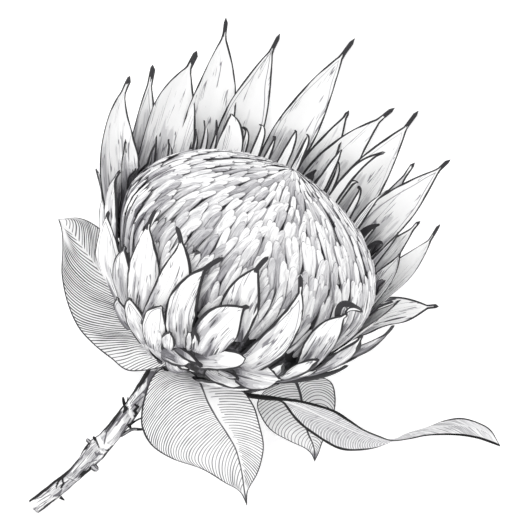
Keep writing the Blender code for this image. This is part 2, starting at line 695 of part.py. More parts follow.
def main():
    for thing in list(bpy.data.objects):
        bpy.data.objects.remove(thing)
    parts = working_collection("protea")
    cutters = working_collection("cutters")
    looks = {
        "stem": ((0.28, 0.27, 0.28), 0.8), "bracts": ((0.72, 0.72, 0.74), 0.6),
        "florets": ((0.62, 0.62, 0.64), 0.7), "leaf_left": ((0.8, 0.8, 0.8), 0.55),
        "leaf_front": ((0.82, 0.82, 0.82), 0.55), "leaf_small": ((0.76, 0.76, 0.76), 0.55),
        "leaf_curled": ((0.66, 0.66, 0.68), 0.55),
    }
    nodes = [make_stem(parts), make_bracts(parts, cutters), make_florets(parts)]
    nodes += [make_leaf(name, leaf, parts) for name, leaf in LEAVES.items()]
    for thing in nodes:
        colour, roughness = looks[thing.name]
        thing.data.materials.clear()
        thing.data.materials.append(material(thing.name, colour, roughness))
        thing.data.shade_smooth()
        thing.data.set_sharp_from_angle(angle=math.radians(40))


main()
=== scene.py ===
"""Looks of the cut protea: its bracts, florets, stem and leaves on fine grids, drawn in grey ink.

Lengths are in millimetres until a mesh is made. The head has a frame of its own: a height is measured along
its axis from the base of the head, and an azimuth of 0 is on its upper side, 90 on its right and -90 on its
left.

Every surface carries what its ink needs as attributes: across and along are distances on the piece, margin
and tip the distances to its margin and its tip, chance a number of its own, shade how dark it is drawn, which
on the florets and many bracts is painted shade and below 0 painted light, and tone the length of its charcoal
tip. On the stem, margin also takes in the black marks, shade and tip are the distances to the grey and the
white ones, and tone is how dark a stub is. On a leaf, tone is 1 on the petiole, shade is the station along
the blade, vein and vein_right count the side veins from the base in the left and the right half, and gap is
the distance between neighbouring ones.
"""
import math
import random

import bmesh
import bpy
import numpy as np
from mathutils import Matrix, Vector


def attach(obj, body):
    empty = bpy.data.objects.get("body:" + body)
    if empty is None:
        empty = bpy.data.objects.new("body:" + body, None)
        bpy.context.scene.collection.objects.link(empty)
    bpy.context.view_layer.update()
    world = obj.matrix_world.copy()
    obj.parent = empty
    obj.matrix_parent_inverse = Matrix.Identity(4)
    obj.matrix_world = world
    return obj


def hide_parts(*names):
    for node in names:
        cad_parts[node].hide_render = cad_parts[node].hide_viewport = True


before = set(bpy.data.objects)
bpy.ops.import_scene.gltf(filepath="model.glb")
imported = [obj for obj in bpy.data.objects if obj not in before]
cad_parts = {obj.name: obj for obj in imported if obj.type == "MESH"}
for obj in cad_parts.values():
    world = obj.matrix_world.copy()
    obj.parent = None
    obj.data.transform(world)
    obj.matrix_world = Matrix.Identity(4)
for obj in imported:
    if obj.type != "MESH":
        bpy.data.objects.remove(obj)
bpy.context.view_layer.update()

MM = 0.001
TINY = 1e-9
SEED = 11
ATTRIBUTES = ("across", "along", "margin", "tip", "chance", "tone", "shade", "vein", "vein_right", "gap")
SHARP_ANGLE = math.radians(38)

# Camera: straight above, far away, with the picture's frame at the height of the bracts
VIEW_CENTRE = (0.5, 0.25)
VIEW_WIDTH = 264.0
VIEW_HEIGHT = 62.0
LENS = 1000.0
SENSOR = 36.0
CLIPPING = (0.1, 100)

# Studio, in metres: white paper, an even sky, and lamps as (name, power, size, place)
FLOOR_REACH = 3.0
PAPER_ROUGHNESS = 0.95
PAPER_GRAIN = 900.0
PAPER_TONES = [(0.0, 253), (0.5, 254)]
PAPER_GLOW = 0.3
SKY_STRENGTH = 0.86
LAMPS = [("key", 9.0, 1.2, (-0.9, 0.5, 1.6)), ("fill", 3.0, 1.6, (1.1, -0.6, 1.4))]

# Head: where it is and which way it points
HEAD_BASE = np.array((-36.7, -49.7, 48.2))
HEAD_TURN = math.radians(28.0)
HEAD_RISE = math.radians(20.0)
AXIS = np.array((math.cos(HEAD_RISE) * math.sin(HEAD_TURN), math.cos(HEAD_RISE) * math.cos(HEAD_TURN),
                 math.sin(HEAD_RISE)))
RIGHT = np.array((math.cos(HEAD_TURN), -math.sin(HEAD_TURN), 0.0))
UPPER = np.cross(RIGHT, AXIS)
SKY = np.array((0.0, 0.0, 1.0))

# Profiles of the head, as (radius, height)
CUP_OUTSIDE = [
    (0, -2), (12, -1.4), (21, 0.6), (31, 5), (41, 11.5), (50, 20), (58, 30), (63.5, 40), (66.5, 50),
    (67.5, 58),
]
CUP_INSET = 4.0
CUP_WALL = 3.0
LOWEST_HEIGHT = -10.0
DOME_TOP = [(0, 118), (15, 112.5), (30, 107), (45, 100), (55, 93), (63, 84), (67.5, 75), (68.8, 69)]
DOME = DOME_TOP + [(66.5, 63.5), (62, 58.5), (60, 54), (59, 50)]
FLORET_LINE = DOME_TOP + [(68.3, 62), (66.3, 54), (63.3, 46), (59.3, 38), (54, 31)]
DOME_STEPS = 600
DOME_RIM = DOME[-1][1]
CORE_DEPTH = 5.0
GAP = 0.35

# Every bract: its thickness, how deep its root is in the cup, its outline, curl and relief
BRACT_THICK = 1.3
TIP_THINNING = 0.45
BRACT_SINK = 2.0
ROOT_REACH = 0.12
ROOT_WIDTHS = (0.66, 0.92)
TIP_POWERS = (0.9, 0.3)
BLUNT_END = 0.6
HOOK_START = 0.72
BRACT_CURL = 0.32
FRONT_CURL = 0.16
CURL_START = 0.35
RIB_HEIGHT = 0.12
RIB_WAVES = 9
EDGE_WAVES = 11
RELIEF_START = 0.3
DOME_CLEAR = 2.4
FLOOR_CLEAR = 0.35

# The finger that a bract ends in: its widths, its length beyond the charcoal, and the shares of it that are
# free of the blade and rounded. The tall bracts between the azimuths of BLOB_SIDE have wider ones.
FINGER_WIDTH = 2.3
BLOB_WIDTH = 3.5
BLOB_SIDE = (-130, 0)
FRONT_POINT = 2.6
SPIKE_POINT = 1.6
FINGER_LENGTH = 2.5
FINGER_BARE = 0.6
FINGER_ROUND = 0.25
ALL_DARK = 99

# Dark right margins, as (azimuth where they start, extra width), and the degrees over which they widen
FRONT_HEAVY = (60, 4.0)
SCALE_HEAVY = (18, 1.4)
SIDE_HEAVY = (60, 6.0)
HEAVY_FADE = 30

# Tall bracts: root azimuth, then azimuth, radius and height of the tip, lean of the middle in degrees, width,
# how far the inner side turns to the sky, length of the charcoal tip, and how dark the blade is drawn:
# painted shade on its wash, most on those at the back just above the dome, and below 0 painted light on the
# right ones.
# Their middle is at the shares TALL_MIDDLE of the way from root to tip, and further out by TALL_BULGE.
TALL_BRACTS = [
    (-94, (-104.4, 90, 60), 2, 15, 0.6, 3, 0), (-97, (-120, 108.5, 101), 7.5, 24, 1.1, 6, 0.2),
    (-110, (-127, 108.6, 108), 0, 17, 0.6, 7, 0.7), (-120, (-139, 107.5, 120), 1, 31, 0.7, 8, 0.5),
    (-138, (-145, 114.5, 138.6), -3, 27, 0.3, 8, 0.6), (-157, (-160, 111, 140.7), 2, 24, 0, 8, 1),
    (-175, (-178.2, 110, 155.3), 2, 21.5, 0, 9, 1.35), (172, (173.6, 98.6, 124), 0, 17, 0, 0, 1.3),
    (165, (163.2, 106.5, 135.3), 4, 21, 0, 7, 1.3), (152, (158, 112.2, 139.2), 1, 23, 0.1, 9, 1),
    (143, (149.2, 102.4, 119.6), -1, 10, 0.2, 3, 2), (137, (141.8, 109.4, 130.7), 1, 24, 0.3, 6, 0.9),
    (123, (132.1, 92.4, 102.5), 0, 15, 0.3, 2, 0.5), (112, (130.2, 102.2, 104.7), -3, 22, 0.3, 8, -0.8),
    (103, (112.4, 104.9, 74.8), 4, 19, 0.7, 2.5, -0.9), (-160, (-159, 100, 112), 2, 14, 0, 2, 1.2),
]
TALL_ROOT = 46.0
TALL_MIDDLE = (0.4, 0.36, 0.475)
TALL_BULGE = 1.5
TALL_WIDEST = 0.6

# Front bracts: (azimuth, radius, height) of the root, the middle and the tip, then the width, how far the tip
# bends aside, the length of the dark tip, and how dark the blade is drawn, as painted shade that is most on
# the two lowest ones at the right
FRONT_BRACTS = [
    ((-10, 58, 31), (-14, 72, 57), (-9.8, 69.7, 84.5), 16, 2.5, 9, 0),
    ((10.6, 65, 50), (6.3, 70, 73), (7.4, 64.5, 93.5), 19, 1.5, 8, 0.2),
    ((3, 61, 34), (4.2, 73, 54), (9, 74, 69.5), 21, 1.5, 1, 0),
    ((25, 59, 33), (28.2, 72, 61.5), (25.8, 70, 93.5), 16, -3, 6, 0),
    ((53, 65, 44), (46, 74.6, 66.5), (46.8, 78, 82.5), 17, 1, 1, 0.2),
    ((76, 60, 33), (65.5, 73.5, 53.5), (62, 79, 70.5), 14.5, -1, 2, 0.9),
    ((90, 61, 36), (84, 74, 53), (75.8, 85, 78.2), 16, -2.5, 8, 1.1),
    ((-25.8, 61, 35), (-21.5, 73, 65), (-29.5, 73, 86), 17.5, -2.5, 9, 0),
    ((-37, 58, 30), (-37.5, 72, 58), (-47, 73, 80.5), 18, 3.5, 9, 0),
    ((-52, 52, 24), (-48, 69, 43), (-49, 73.5, 57), 14, 0, 0, 0.2),
    ((-66, 50, 20), (-60, 70.5, 42), (-72, 75, 60), 17, 0, 0, 0.2),
    ((-84, 60, 33), (-88, 73, 54), (-93, 76, 72), 14, 0, 2, 0),
]
FRONT_FACING = 0.8

# Rolled tip of the fifth front bract: its dark side, then a white strip on it as a painted highlight
ROLLED_TIP = [
    ((45.3, 75.5, 79), (46.5, 75, 85.7), (61.2, 73, 80.1), 3.8, 1),
    ((46.9, 77.8, 83.2), (48.5, 78.4, 85.3), (54.4, 77, 83.7), 2.2, 0),
]

# Scales on the upper side of the cup, in the same way, with how dark each one is drawn and how blunt its ends
# are, from 0 to 1, in place of the rest
FRONT_SCALES = [
    ((-46, 50, 16), (-45.9, 60, 23.6), (-44.5, 67, 31), 9, 0.9, 0.3),
    ((-38, 42, 13), (-38.5, 57, 25), (-38, 67.5, 36), 13, 0.15, 0.3),
    ((-27.7, 44, 15), (-23.8, 62, 31.5), (-20.5, 72, 45.5), 14.5, 0.05, 0.2),
    ((-16, 49, 20), (-14.7, 58.5, 27), (-14, 65, 33.5), 8, 0.1, 0.6),
    ((-4, 56, 28), (-5.2, 64, 35), (-6, 68.5, 40), 4.5, 0.2, 0.4),
    ((-1, 58, 30), (-3.1, 66, 38), (-5.4, 70.5, 44), 4.5, 0, 0.2),
    ((4.1, 52.6, 24.8), (12.2, 63.7, 33), (19.5, 71.1, 41.5), 12.5, 0.5, 0.9),
    ((25.5, 58.5, 28.5), (32.8, 64.5, 31.5), (40.5, 68.2, 34.5), 16, 0.5, 0.4),
    ((42, 58, 30), (37.6, 65.5, 38), (36, 70, 45), 8, 0.4, 0.3),
    ((51.1, 59, 31.9), (47.5, 69, 43.2), (48.3, 75, 53), 8.5, 0.15, 0.8),
    ((59.3, 59.5, 32.7), (54.6, 67, 39.2), (54.1, 70.7, 44.1), 6, 0.15, 0.5),
    ((14, 48, 18.1), (22.8, 53, 19), (31.8, 56.3, 20.8), 7, -0.4, 0.6),
    ((18, 53, 22.5), (22.5, 57.4, 24.2), (27, 59.2, 25), 3.5, 0, 0.6),
    ((-18.6, 42.5, 13.9), (-7.6, 51.1, 18.2), (0.8, 56, 21.3), 9, 0.8, 0.7),
    ((-9.4, 50.7, 22.2), (-1.6, 55.8, 23.5), (6.7, 56.9, 22.6), 5, 1, 0.5),
]

# Scales at the sides of the cup, where the drawing shows only their edges
SIDE_SCALES = [
    ((96, 52, 24), (93, 67.5, 38), (90.5, 74.5, 50), 15), ((86, 36, 10), (85, 50, 21), (84, 60, 33), 14),
    ((-88, 50, 24), (-89, 63, 38), (-90, 70, 52), 15), ((-82, 36, 10), (-81, 50, 21), (-80, 60, 33), 13),
]
# Painted shade: the side scales are drawn dark grey all over.
SIDE_SHADE = 3.0

# Black scale painted as the shade along the lower right edge of the cup, and its width
SHADED_LOWER_EDGE = ((87, 43.6, 14.8), (85, 61.2, 28.5), (83.7, 70.8, 42))
SHADED_LOWER_EDGE_WIDTH = 4.0

# Small dark scales at the base of the cup: azimuth step, and radius and height of the root, middle and tip
BASAL_STEP = 27
BASAL_LINE = [(18, 0.5), (33, 6.5), (46, 17)]
BASAL_WIDTH = 12
BASAL_SHADE = 0.8
BASAL_TURN = 4

# Hidden side of the cup: azimuth step, root height, length, width, and how far the tips stand out
SCALE_ROWS = [(30, 5, 21, 20, 4.5), (28, 17, 26, 21, 5.5), (25, 28, 32, 20, 6.5)]
HIDDEN_SIDE = (99, 264)
SCALE_LENGTHS = (0.9, 1.1)
SCALE_REACH = (0.6, 0.9)
SCALE_TOP = 30
SCALE_TURN = 3
SCALE_MIDDLE = (0.5, 0.52, 0.45)
SCALE_BULGE = 1.0

# Bracts above them: azimuth step, root height, length and width, and where their tips are
UNDER_ROWS = [(22, 37, 42, 19), (24, 44, 42, 18)]
UNDER_START = 4
UNDER_LENGTHS = (0.85, 1.0)
UNDER_TIP = (76, 70)
UNDER_FLARE = 0.35
UNDER_STAND = 4
UNDER_TURN = 4
UNDER_MIDDLE = (0.5, 0.5, 0.475)
UNDER_BULGE = 1.5
UNDER_DARK = 2

# Spikes behind the rim of the dome: (azimuth, radius, height) where each one comes out and of its tip, then
# the width, how far the tip bends aside, the length of the dark tip, and how dark the blade is drawn
SPIKES = [
    ((-99.4, 69, 69.1), (-112.8, 76, 72.2), 4.5, 1, 3, 0.6),
    ((-110.4, 69, 72.4), (-120.4, 78, 82.2), 4.5, -2, 1.5, 0),
    ((-124, 69, 76), (-127, 78, 82), 5, 1, 0, 0.2),
    ((-135.5, 69, 82.7), (-139.6, 82, 88.7), 4, 0, 1, 0),
    ((-139.5, 69, 84.7), (-141.9, 82, 94), 5, 1, 1, 0),
    ((-143.9, 69, 85.3), (-146.8, 82, 95.7), 4.5, 1.5, 9, 0),
    ((-150.4, 69, 89.9), (-150.7, 84, 101.5), 17, 0, 0, -0.9),
    ((-157, 69, 92), (-156, 82, 97), 5, 1, 7, 0.4),
    ((-162.2, 69, 94.6), (-162.4, 84, 100.8), 6, 0, 0, 0),
    ((-167.8, 69, 93.4), (-168.6, 82, 98.2), 4.5, 0, 9, 0),
    ((-174.7, 69, 95.8), (-174.5, 84, 105.9), 6.5, 0, 1, 0.2),
    ((179.7, 69, 98.2), (-178.6, 84, 106.5), 5, 0, 0, 0),
    ((166.2, 69, 96.1), (168.4, 84, 108.9), 7, 0, 2, 0.5),
    ((161.9, 69, 93.4), (168.1, 82, 103.5), 4.5, 0, 1, 0.2),
    ((157.8, 69, 100.8), (154.6, 88, 119), 7, 1, 0, -0.6),
    ((156.9, 69, 93.1), (156.4, 82, 100), 6, -1, 1, 0.2),
    ((148.9, 69, 92.3), (156.9, 82, 98.9), 5, 1.5, 1, 0.4),
    ((142.7, 69, 89.5), (147.6, 84, 103.9), 6, -3, 1, -0.6),
    ((135.6, 69, 83.1), (140.6, 80, 87.2), 4, -1.5, 6, 0.5),
    ((130, 69, 79.1), (136.2, 80, 82.9), 3.5, -1, 5, 0),
    ((121.4, 69, 83.7), (134.5, 86, 92.6), 6, 0, 1, 0.4),
    ((112, 69, 72), (116, 78, 80), 6, 0, 1, 0.6),
    ((100, 69, 66), (102, 78, 74), 5, 1, 2, 0.8),
    ((112.5, 72.5, 75.5), (116.7, 75, 93), 18, 0, 0, -1.2),
    # Wholly dark blades, painted as the shade in the crevices behind the rim.
    ((173.3, 72, 84), (171.4, 75, 94.5), 8, 1.5, ALL_DARK, 0),
    ((167.8, 70, 88), (166.6, 74, 100), 7, -1.5, ALL_DARK, 0),
    ((139.5, 72, 82), (137.2, 76, 91), 8, 1.5, ALL_DARK, 0),
    ((132.5, 72, 79), (131.5, 76, 87.5), 7, -1.5, ALL_DARK, 0),
]
SPIKE_ROOT = 53.0
SPIKE_WIDTH = 0.85
SPIKE_SHADE = 0.5
SPIKE_FACING = -0.4
SPIKE_WIDEST = 0.5

# Rows of florets from the apex to the rim: their width and how much of them shows, at both ends
FIRST_FLORETS = 1.5
CROWN_EDGE = 52.0
RIM_PLACES = (72.0, 98.0)
RIM_STEP = 15.0
RIM_WIDTH = 0.8
FLORET_WIDTH = (2.7, 5.2)
FLORET_SHOWN = (6.5, 13.0)
FLORET_COVERED = 6
FLORET_SPACING = 0.70
FLORET_SHIFT = 0.25
LENGTH_SPREAD = (0.9, 1.0)
WIDTH_SPREAD = (0.8, 1.15)

# Each floret: its grid, how it sinks to its root, and its outline
FLORET_RINGS = 10
FLORET_SIDES = 8
FLORET_EASE = 1.35
FLORET_SINK = 2.6
FLORET_TILT = 1.1
FLORET_DEPTH = 1.2
FLORET_LIFT = 0.25
FLORET_DRIFT = 1.8
FLORET_FLAT = 0.34
FLORET_ROOT = 0.72
FLORET_SHOULDER = 0.72
FLORET_ROUND = 0.3
APEX_CROWDING = 0.6
APEX_WIDTH = 0.4

# Painted shade on the florets, by the distance from the apex and the side of the head: at the rim, most on
# the left, and at the back, with uneven patches, and a painted highlight on the front of the dome
RIM_START = 56
SHADE_FADE = 24
RIM_SHADE = 0.05
RIM_LEFT = 1.1
RIM_FRONT = 0.15
HIGHLIGHT_PLACE = 50
HIGHLIGHT_TURN = 0.4
HIGHLIGHT_STRENGTH = 0.5
PATCH_SHADE = 0.1
BACK_SHADE = 0.25

# Stem: centre line from the cut end to the head, with the radius at each point
STEM_LINE = [
    (-115.2, -122.2, 4.5, 4.1), (-108.5, -117, 7.8, 4.2), (-101.6, -111.4, 11, 4.3),
    (-95.6, -106.4, 13.8, 3.9), (-89.6, -100.6, 17, 4.5), (-84.2, -93.9, 20.4, 5.8),
    (-78.6, -88.4, 23.2, 4.8), (-73.4, -82.2, 26.2, 4.6), (-68.2, -75.6, 29.4, 4.8),
    (-63.8, -69.2, 33, 4.2), (-60.2, -62.9, 36.7, 3.8), (-56.5, -57, 40.2, 4), (-52.2, -50, 44.5, 4.6),
    (-48.9, -45.5, 46.2, 5.4),
]
STEM_RINGS = 420
STEM_SIDES = 72

# Bumps of the bark, as (height, waves round the stem, waves along it, start), and how deep they lie
BARK_WAVES = [(0.12, 5, 3, 0), (0.08, 9, 7, 2), (0.10, 2, 26, 4), (0.06, 1, 90, 0)]
BARK_INSET = 0.25

# Width of the dark edge on the stem's left and right, as (y, width): painted shade along its sides, widest on
# the left
LEFT_SHADE_EDGE = [
    (-124, 0.2), (-120, 0.4), (-117.5, 1.1), (-114, 1.3), (-110, 0.9), (-107, 1.4), (-105, 0.7), (-97, 0.5),
    (-93, 0.9), (-90.5, 1), (-88.5, 0.2), (-84.5, 0.2), (-83, 0.8), (-78, 1.1), (-73, 0.9), (-70, 0.5),
    (-66, 0.5), (-63, 1.1), (-59.5, 2), (-55.5, 2.3), (-50, 1.5),
]
RIGHT_SHADE_EDGE = [
    (-126, 0.3), (-123, 0.8), (-119, 1), (-118, 0.4), (-108, 0.5), (-106, 1.2), (-102, 1.3), (-100, 0.5),
    (-94.5, 0.8), (-92, 0.6), (-88, 0.3), (-84, 0.4), (-80, 0.6), (-76, 0.3), (-50, 0.3),
]

# Marks on the upper side of the stem: each is a row of (x, y, half width)
BLACK_MARKS = [
    [(-64, -70.7, 0.5), (-62.5, -71.7, 0.5), (-64.5, -73.7, 0.6), (-63.2, -75.3, 0.7), (-64.5, -76.3, 0.4)],
    [(-85.7, -86.7, 0.4), (-83.7, -89, 0.3), (-82.3, -92.3, 0.15)],
    [(-88, -90, 0.3), (-89, -92, 0.8), (-91.5, -94.5, 0.4)],
    [(-75.5, -91.3, 0.3), (-76.8, -93.5, 0.6), (-79, -93.6, 0.15)],
    [(-82.5, -101, 0.4), (-84, -103, 0.9), (-87, -104.6, 0.5), (-90, -104.8, 0.8), (-92, -106, 0.3)],
    [(-100.3, -105.3, 0.6), (-101, -107.5, 0.6), (-100.5, -110.5, 0.4), (-101.5, -112.5, 0.3)],
    [(-101, -107, 0.4), (-103.5, -110.5, 0.4), (-104, -112.7, 0.15)],
    [(-103, -108, 0.5), (-107, -111.5, 0.5), (-110.5, -114.5, 0.3)],
    [(-70, -70.8, 0.7), (-68.7, -72.6, 0.9), (-70, -74.5, 0.4)],
    [(-72, -74.5, 0.35), (-75, -79.5, 0.3), (-79, -84.5, 0.2)],
]
GREY_MARKS = [
    [(-55.5, -56, 2.4), (-57, -61.5, 1.4), (-59.5, -64.5, 0.6)],
    [(-101.2, -113.5, 0.3), (-103, -116, 0.9), (-105.5, -116.8, 0.3)],
    [(-84.5, -94.5, 0.2), (-83.7, -95.7, 0.6), (-80.5, -95.5, 0.2)],
    [(-91.5, -103, 0.2), (-88, -100, 0.2), (-83.5, -98.5, 0.2)],
    [(-90, -103.5, 0.15), (-87, -102, 0.25), (-85, -100.2, 0.15)],
    [(-57.5, -61.5, 0.25), (-61.5, -65.5, 0.3), (-65.5, -69.5, 0.2)],
    [(-60, -66.5, 0.25), (-63.5, -69.5, 0.3), (-66.5, -73, 0.2)],
    [(-58.8, -68.5, 0.3), (-60.5, -72, 0.3), (-61, -76, 0.2)],
    [(-71.5, -74.5, 0.7), (-74.5, -79, 0.8), (-78, -84, 0.4)],
    [(-69, -74.5, 0.7), (-71.5, -77.5, 0.5), (-73.5, -81, 0.2)],
    [(-66.5, -77.5, 0.3), (-69, -82, 0.4), (-72, -87, 0.2)],
    [(-78.5, -84.5, 0.3), (-79.5, -88.5, 0.4), (-79.8, -90.5, 0.2)],
    [(-87, -91.5, 0.2), (-91.5, -97.5, 0.25), (-97.5, -105, 0.2)],
    [(-85.5, -93, 0.15), (-89.5, -98, 0.2), (-95.5, -104.8, 0.2)],
    [(-84.5, -97.5, 0.1), (-88.5, -101.5, 0.2), (-94, -107, 0.2)],
    [(-80.5, -97, 0.15), (-83.5, -99.8, 0.2), (-86.5, -102.8, 0.1)],
    [(-90.5, -94.5, 0.15), (-95, -100.5, 0.2), (-99, -105, 0.2)],
    [(-98.5, -107.5, 0.15), (-96, -108.5, 0.2), (-94, -109.5, 0.1)],
    [(-115, -118.6, 0.15), (-111.5, -117.3, 0.25), (-107.5, -114, 0.2)],
    [(-114, -120.2, 0.12), (-110.5, -118, 0.22), (-107, -116, 0.2)],
    [(-113.4, -121.8, 0.12), (-110, -119.6, 0.2), (-108.5, -118.6, 0.1)],
    [(-113.8, -123.4, 0.12), (-111, -121.6, 0.2), (-109.8, -120.8, 0.1)],
]
WHITE_MARKS = [
    [(-70.5, -79, 0.6), (-73.5, -83, 1.4), (-76.5, -87, 1.2), (-78.5, -89, 0.5)],
    [(-83, -87.3, 1.2), (-81.5, -90.5, 1.5), (-77.5, -92, 1.4)],
    [(-66.5, -72, 0.5), (-66.7, -75, 0.8), (-65.5, -77.2, 0.6), (-62.5, -77.2, 0.5)],
    [(-67.8, -67.5, 0.4), (-67.2, -71, 0.4)],
    [(-117.5, -120.5, 2.6), (-112.5, -119.5, 2.2), (-108, -116.5, 1)],
    [(-96, -104.5, 0.3), (-92, -101, 0.6), (-88, -96.5, 0.3)],
    [(-81.5, -94, 0.5), (-79, -96.5, 0.7), (-81, -99, 0.4)],
]
MARK_FAR = 5.0

# Buds, stubs and twigs on the stem: how dark, then rows of (x, y, height over the stem's centre line, radius)
STUBS = [
    (1.0, [(-69.0, -72.0, 1.5, 0.9), (-69.8, -70.0, 1.5, 0.8), (-70.2, -68.0, 1.5, 0.7),
           (-70.3, -66.8, 1.5, 0.4)]),
    (1.0, [(-68.4, -71.0, 2.0, 0.5), (-68.0, -68.5, 2.0, 0.4), (-67.8, -66.8, 2.0, 0.2)]),
    (0.2, [(-86.2, -90.4, 1.2, 1.1), (-87.4, -89.3, 1.2, 1.0), (-88.4, -88.4, 1.2, 0.9),
           (-88.9, -88.0, 1.2, 0.25)]),
    (1.0, [(-83.5, -89.2, 3.0, 0.6), (-84.8, -87.5, 3.0, 0.7), (-85.4, -86.7, 3.0, 0.4)]),
    (1.0, [(-79.6, -86.6, 1.5, 0.6), (-80.8, -85.1, 1.5, 0.6), (-81.2, -84.6, 1.5, 0.3)]),
    (0.3, [(-86.4, -100.8, 1.2, 1.8), (-85.0, -102.2, 1.2, 1.8), (-83.9, -103.2, 1.2, 1.6),
           (-83.1, -104.0, 1.2, 0.5)]),
    (0.8, [(-102.2, -117.3, 1.0, 0.9), (-101.0, -118.2, 1.0, 0.6), (-99.9, -119.0, 1.0, 0.15)]),
    (1.0, [(-67.6, -80.4, 2.5, 0.9), (-66.8, -81.8, 2.5, 0.8), (-66.2, -82.7, 2.5, 0.3)]),
    (1.0, [(-66.8, -80.8, 1.5, 0.6), (-63.5, -78.5, 1.5, 0.45), (-61.0, -77.4, 1.0, 0.4)]),
    (0.2, [(-71.6, -86.4, 0.5, 0.9), (-66.2, -83.3, 0.5, 0.8), (-63.0, -83.0, 0.5, 0.7)]),
    (1.0, [(-63.3, -83.0, 0.5, 0.75), (-60.6, -83.0, 0.0, 0.6)]),
]
STUB_SIDES = 16
STUB_RINGS = 12
STUB_KNOBS = 0.1
STUB_EDGE = 0.3

# Leaves: their grid, thickness, petioles, pleats and midribs
LEAF_GRID = (220, 32)
LEAF_THICK = 1.0
THIN_MARGIN = 0.75
PETIOLE_RADIUS = 1.3
PETIOLE_RISE = 2.5
PETIOLE_FADE = 9.0
PLEAT_HEIGHT = 0.08
PLEAT_WAVES = 70
PLEAT_BOW = 5
RIB_DEPTH = 0.35
RIB_REACH = 0.9
RELIEF_RISE = 12
VEIN_FAR = 6.0

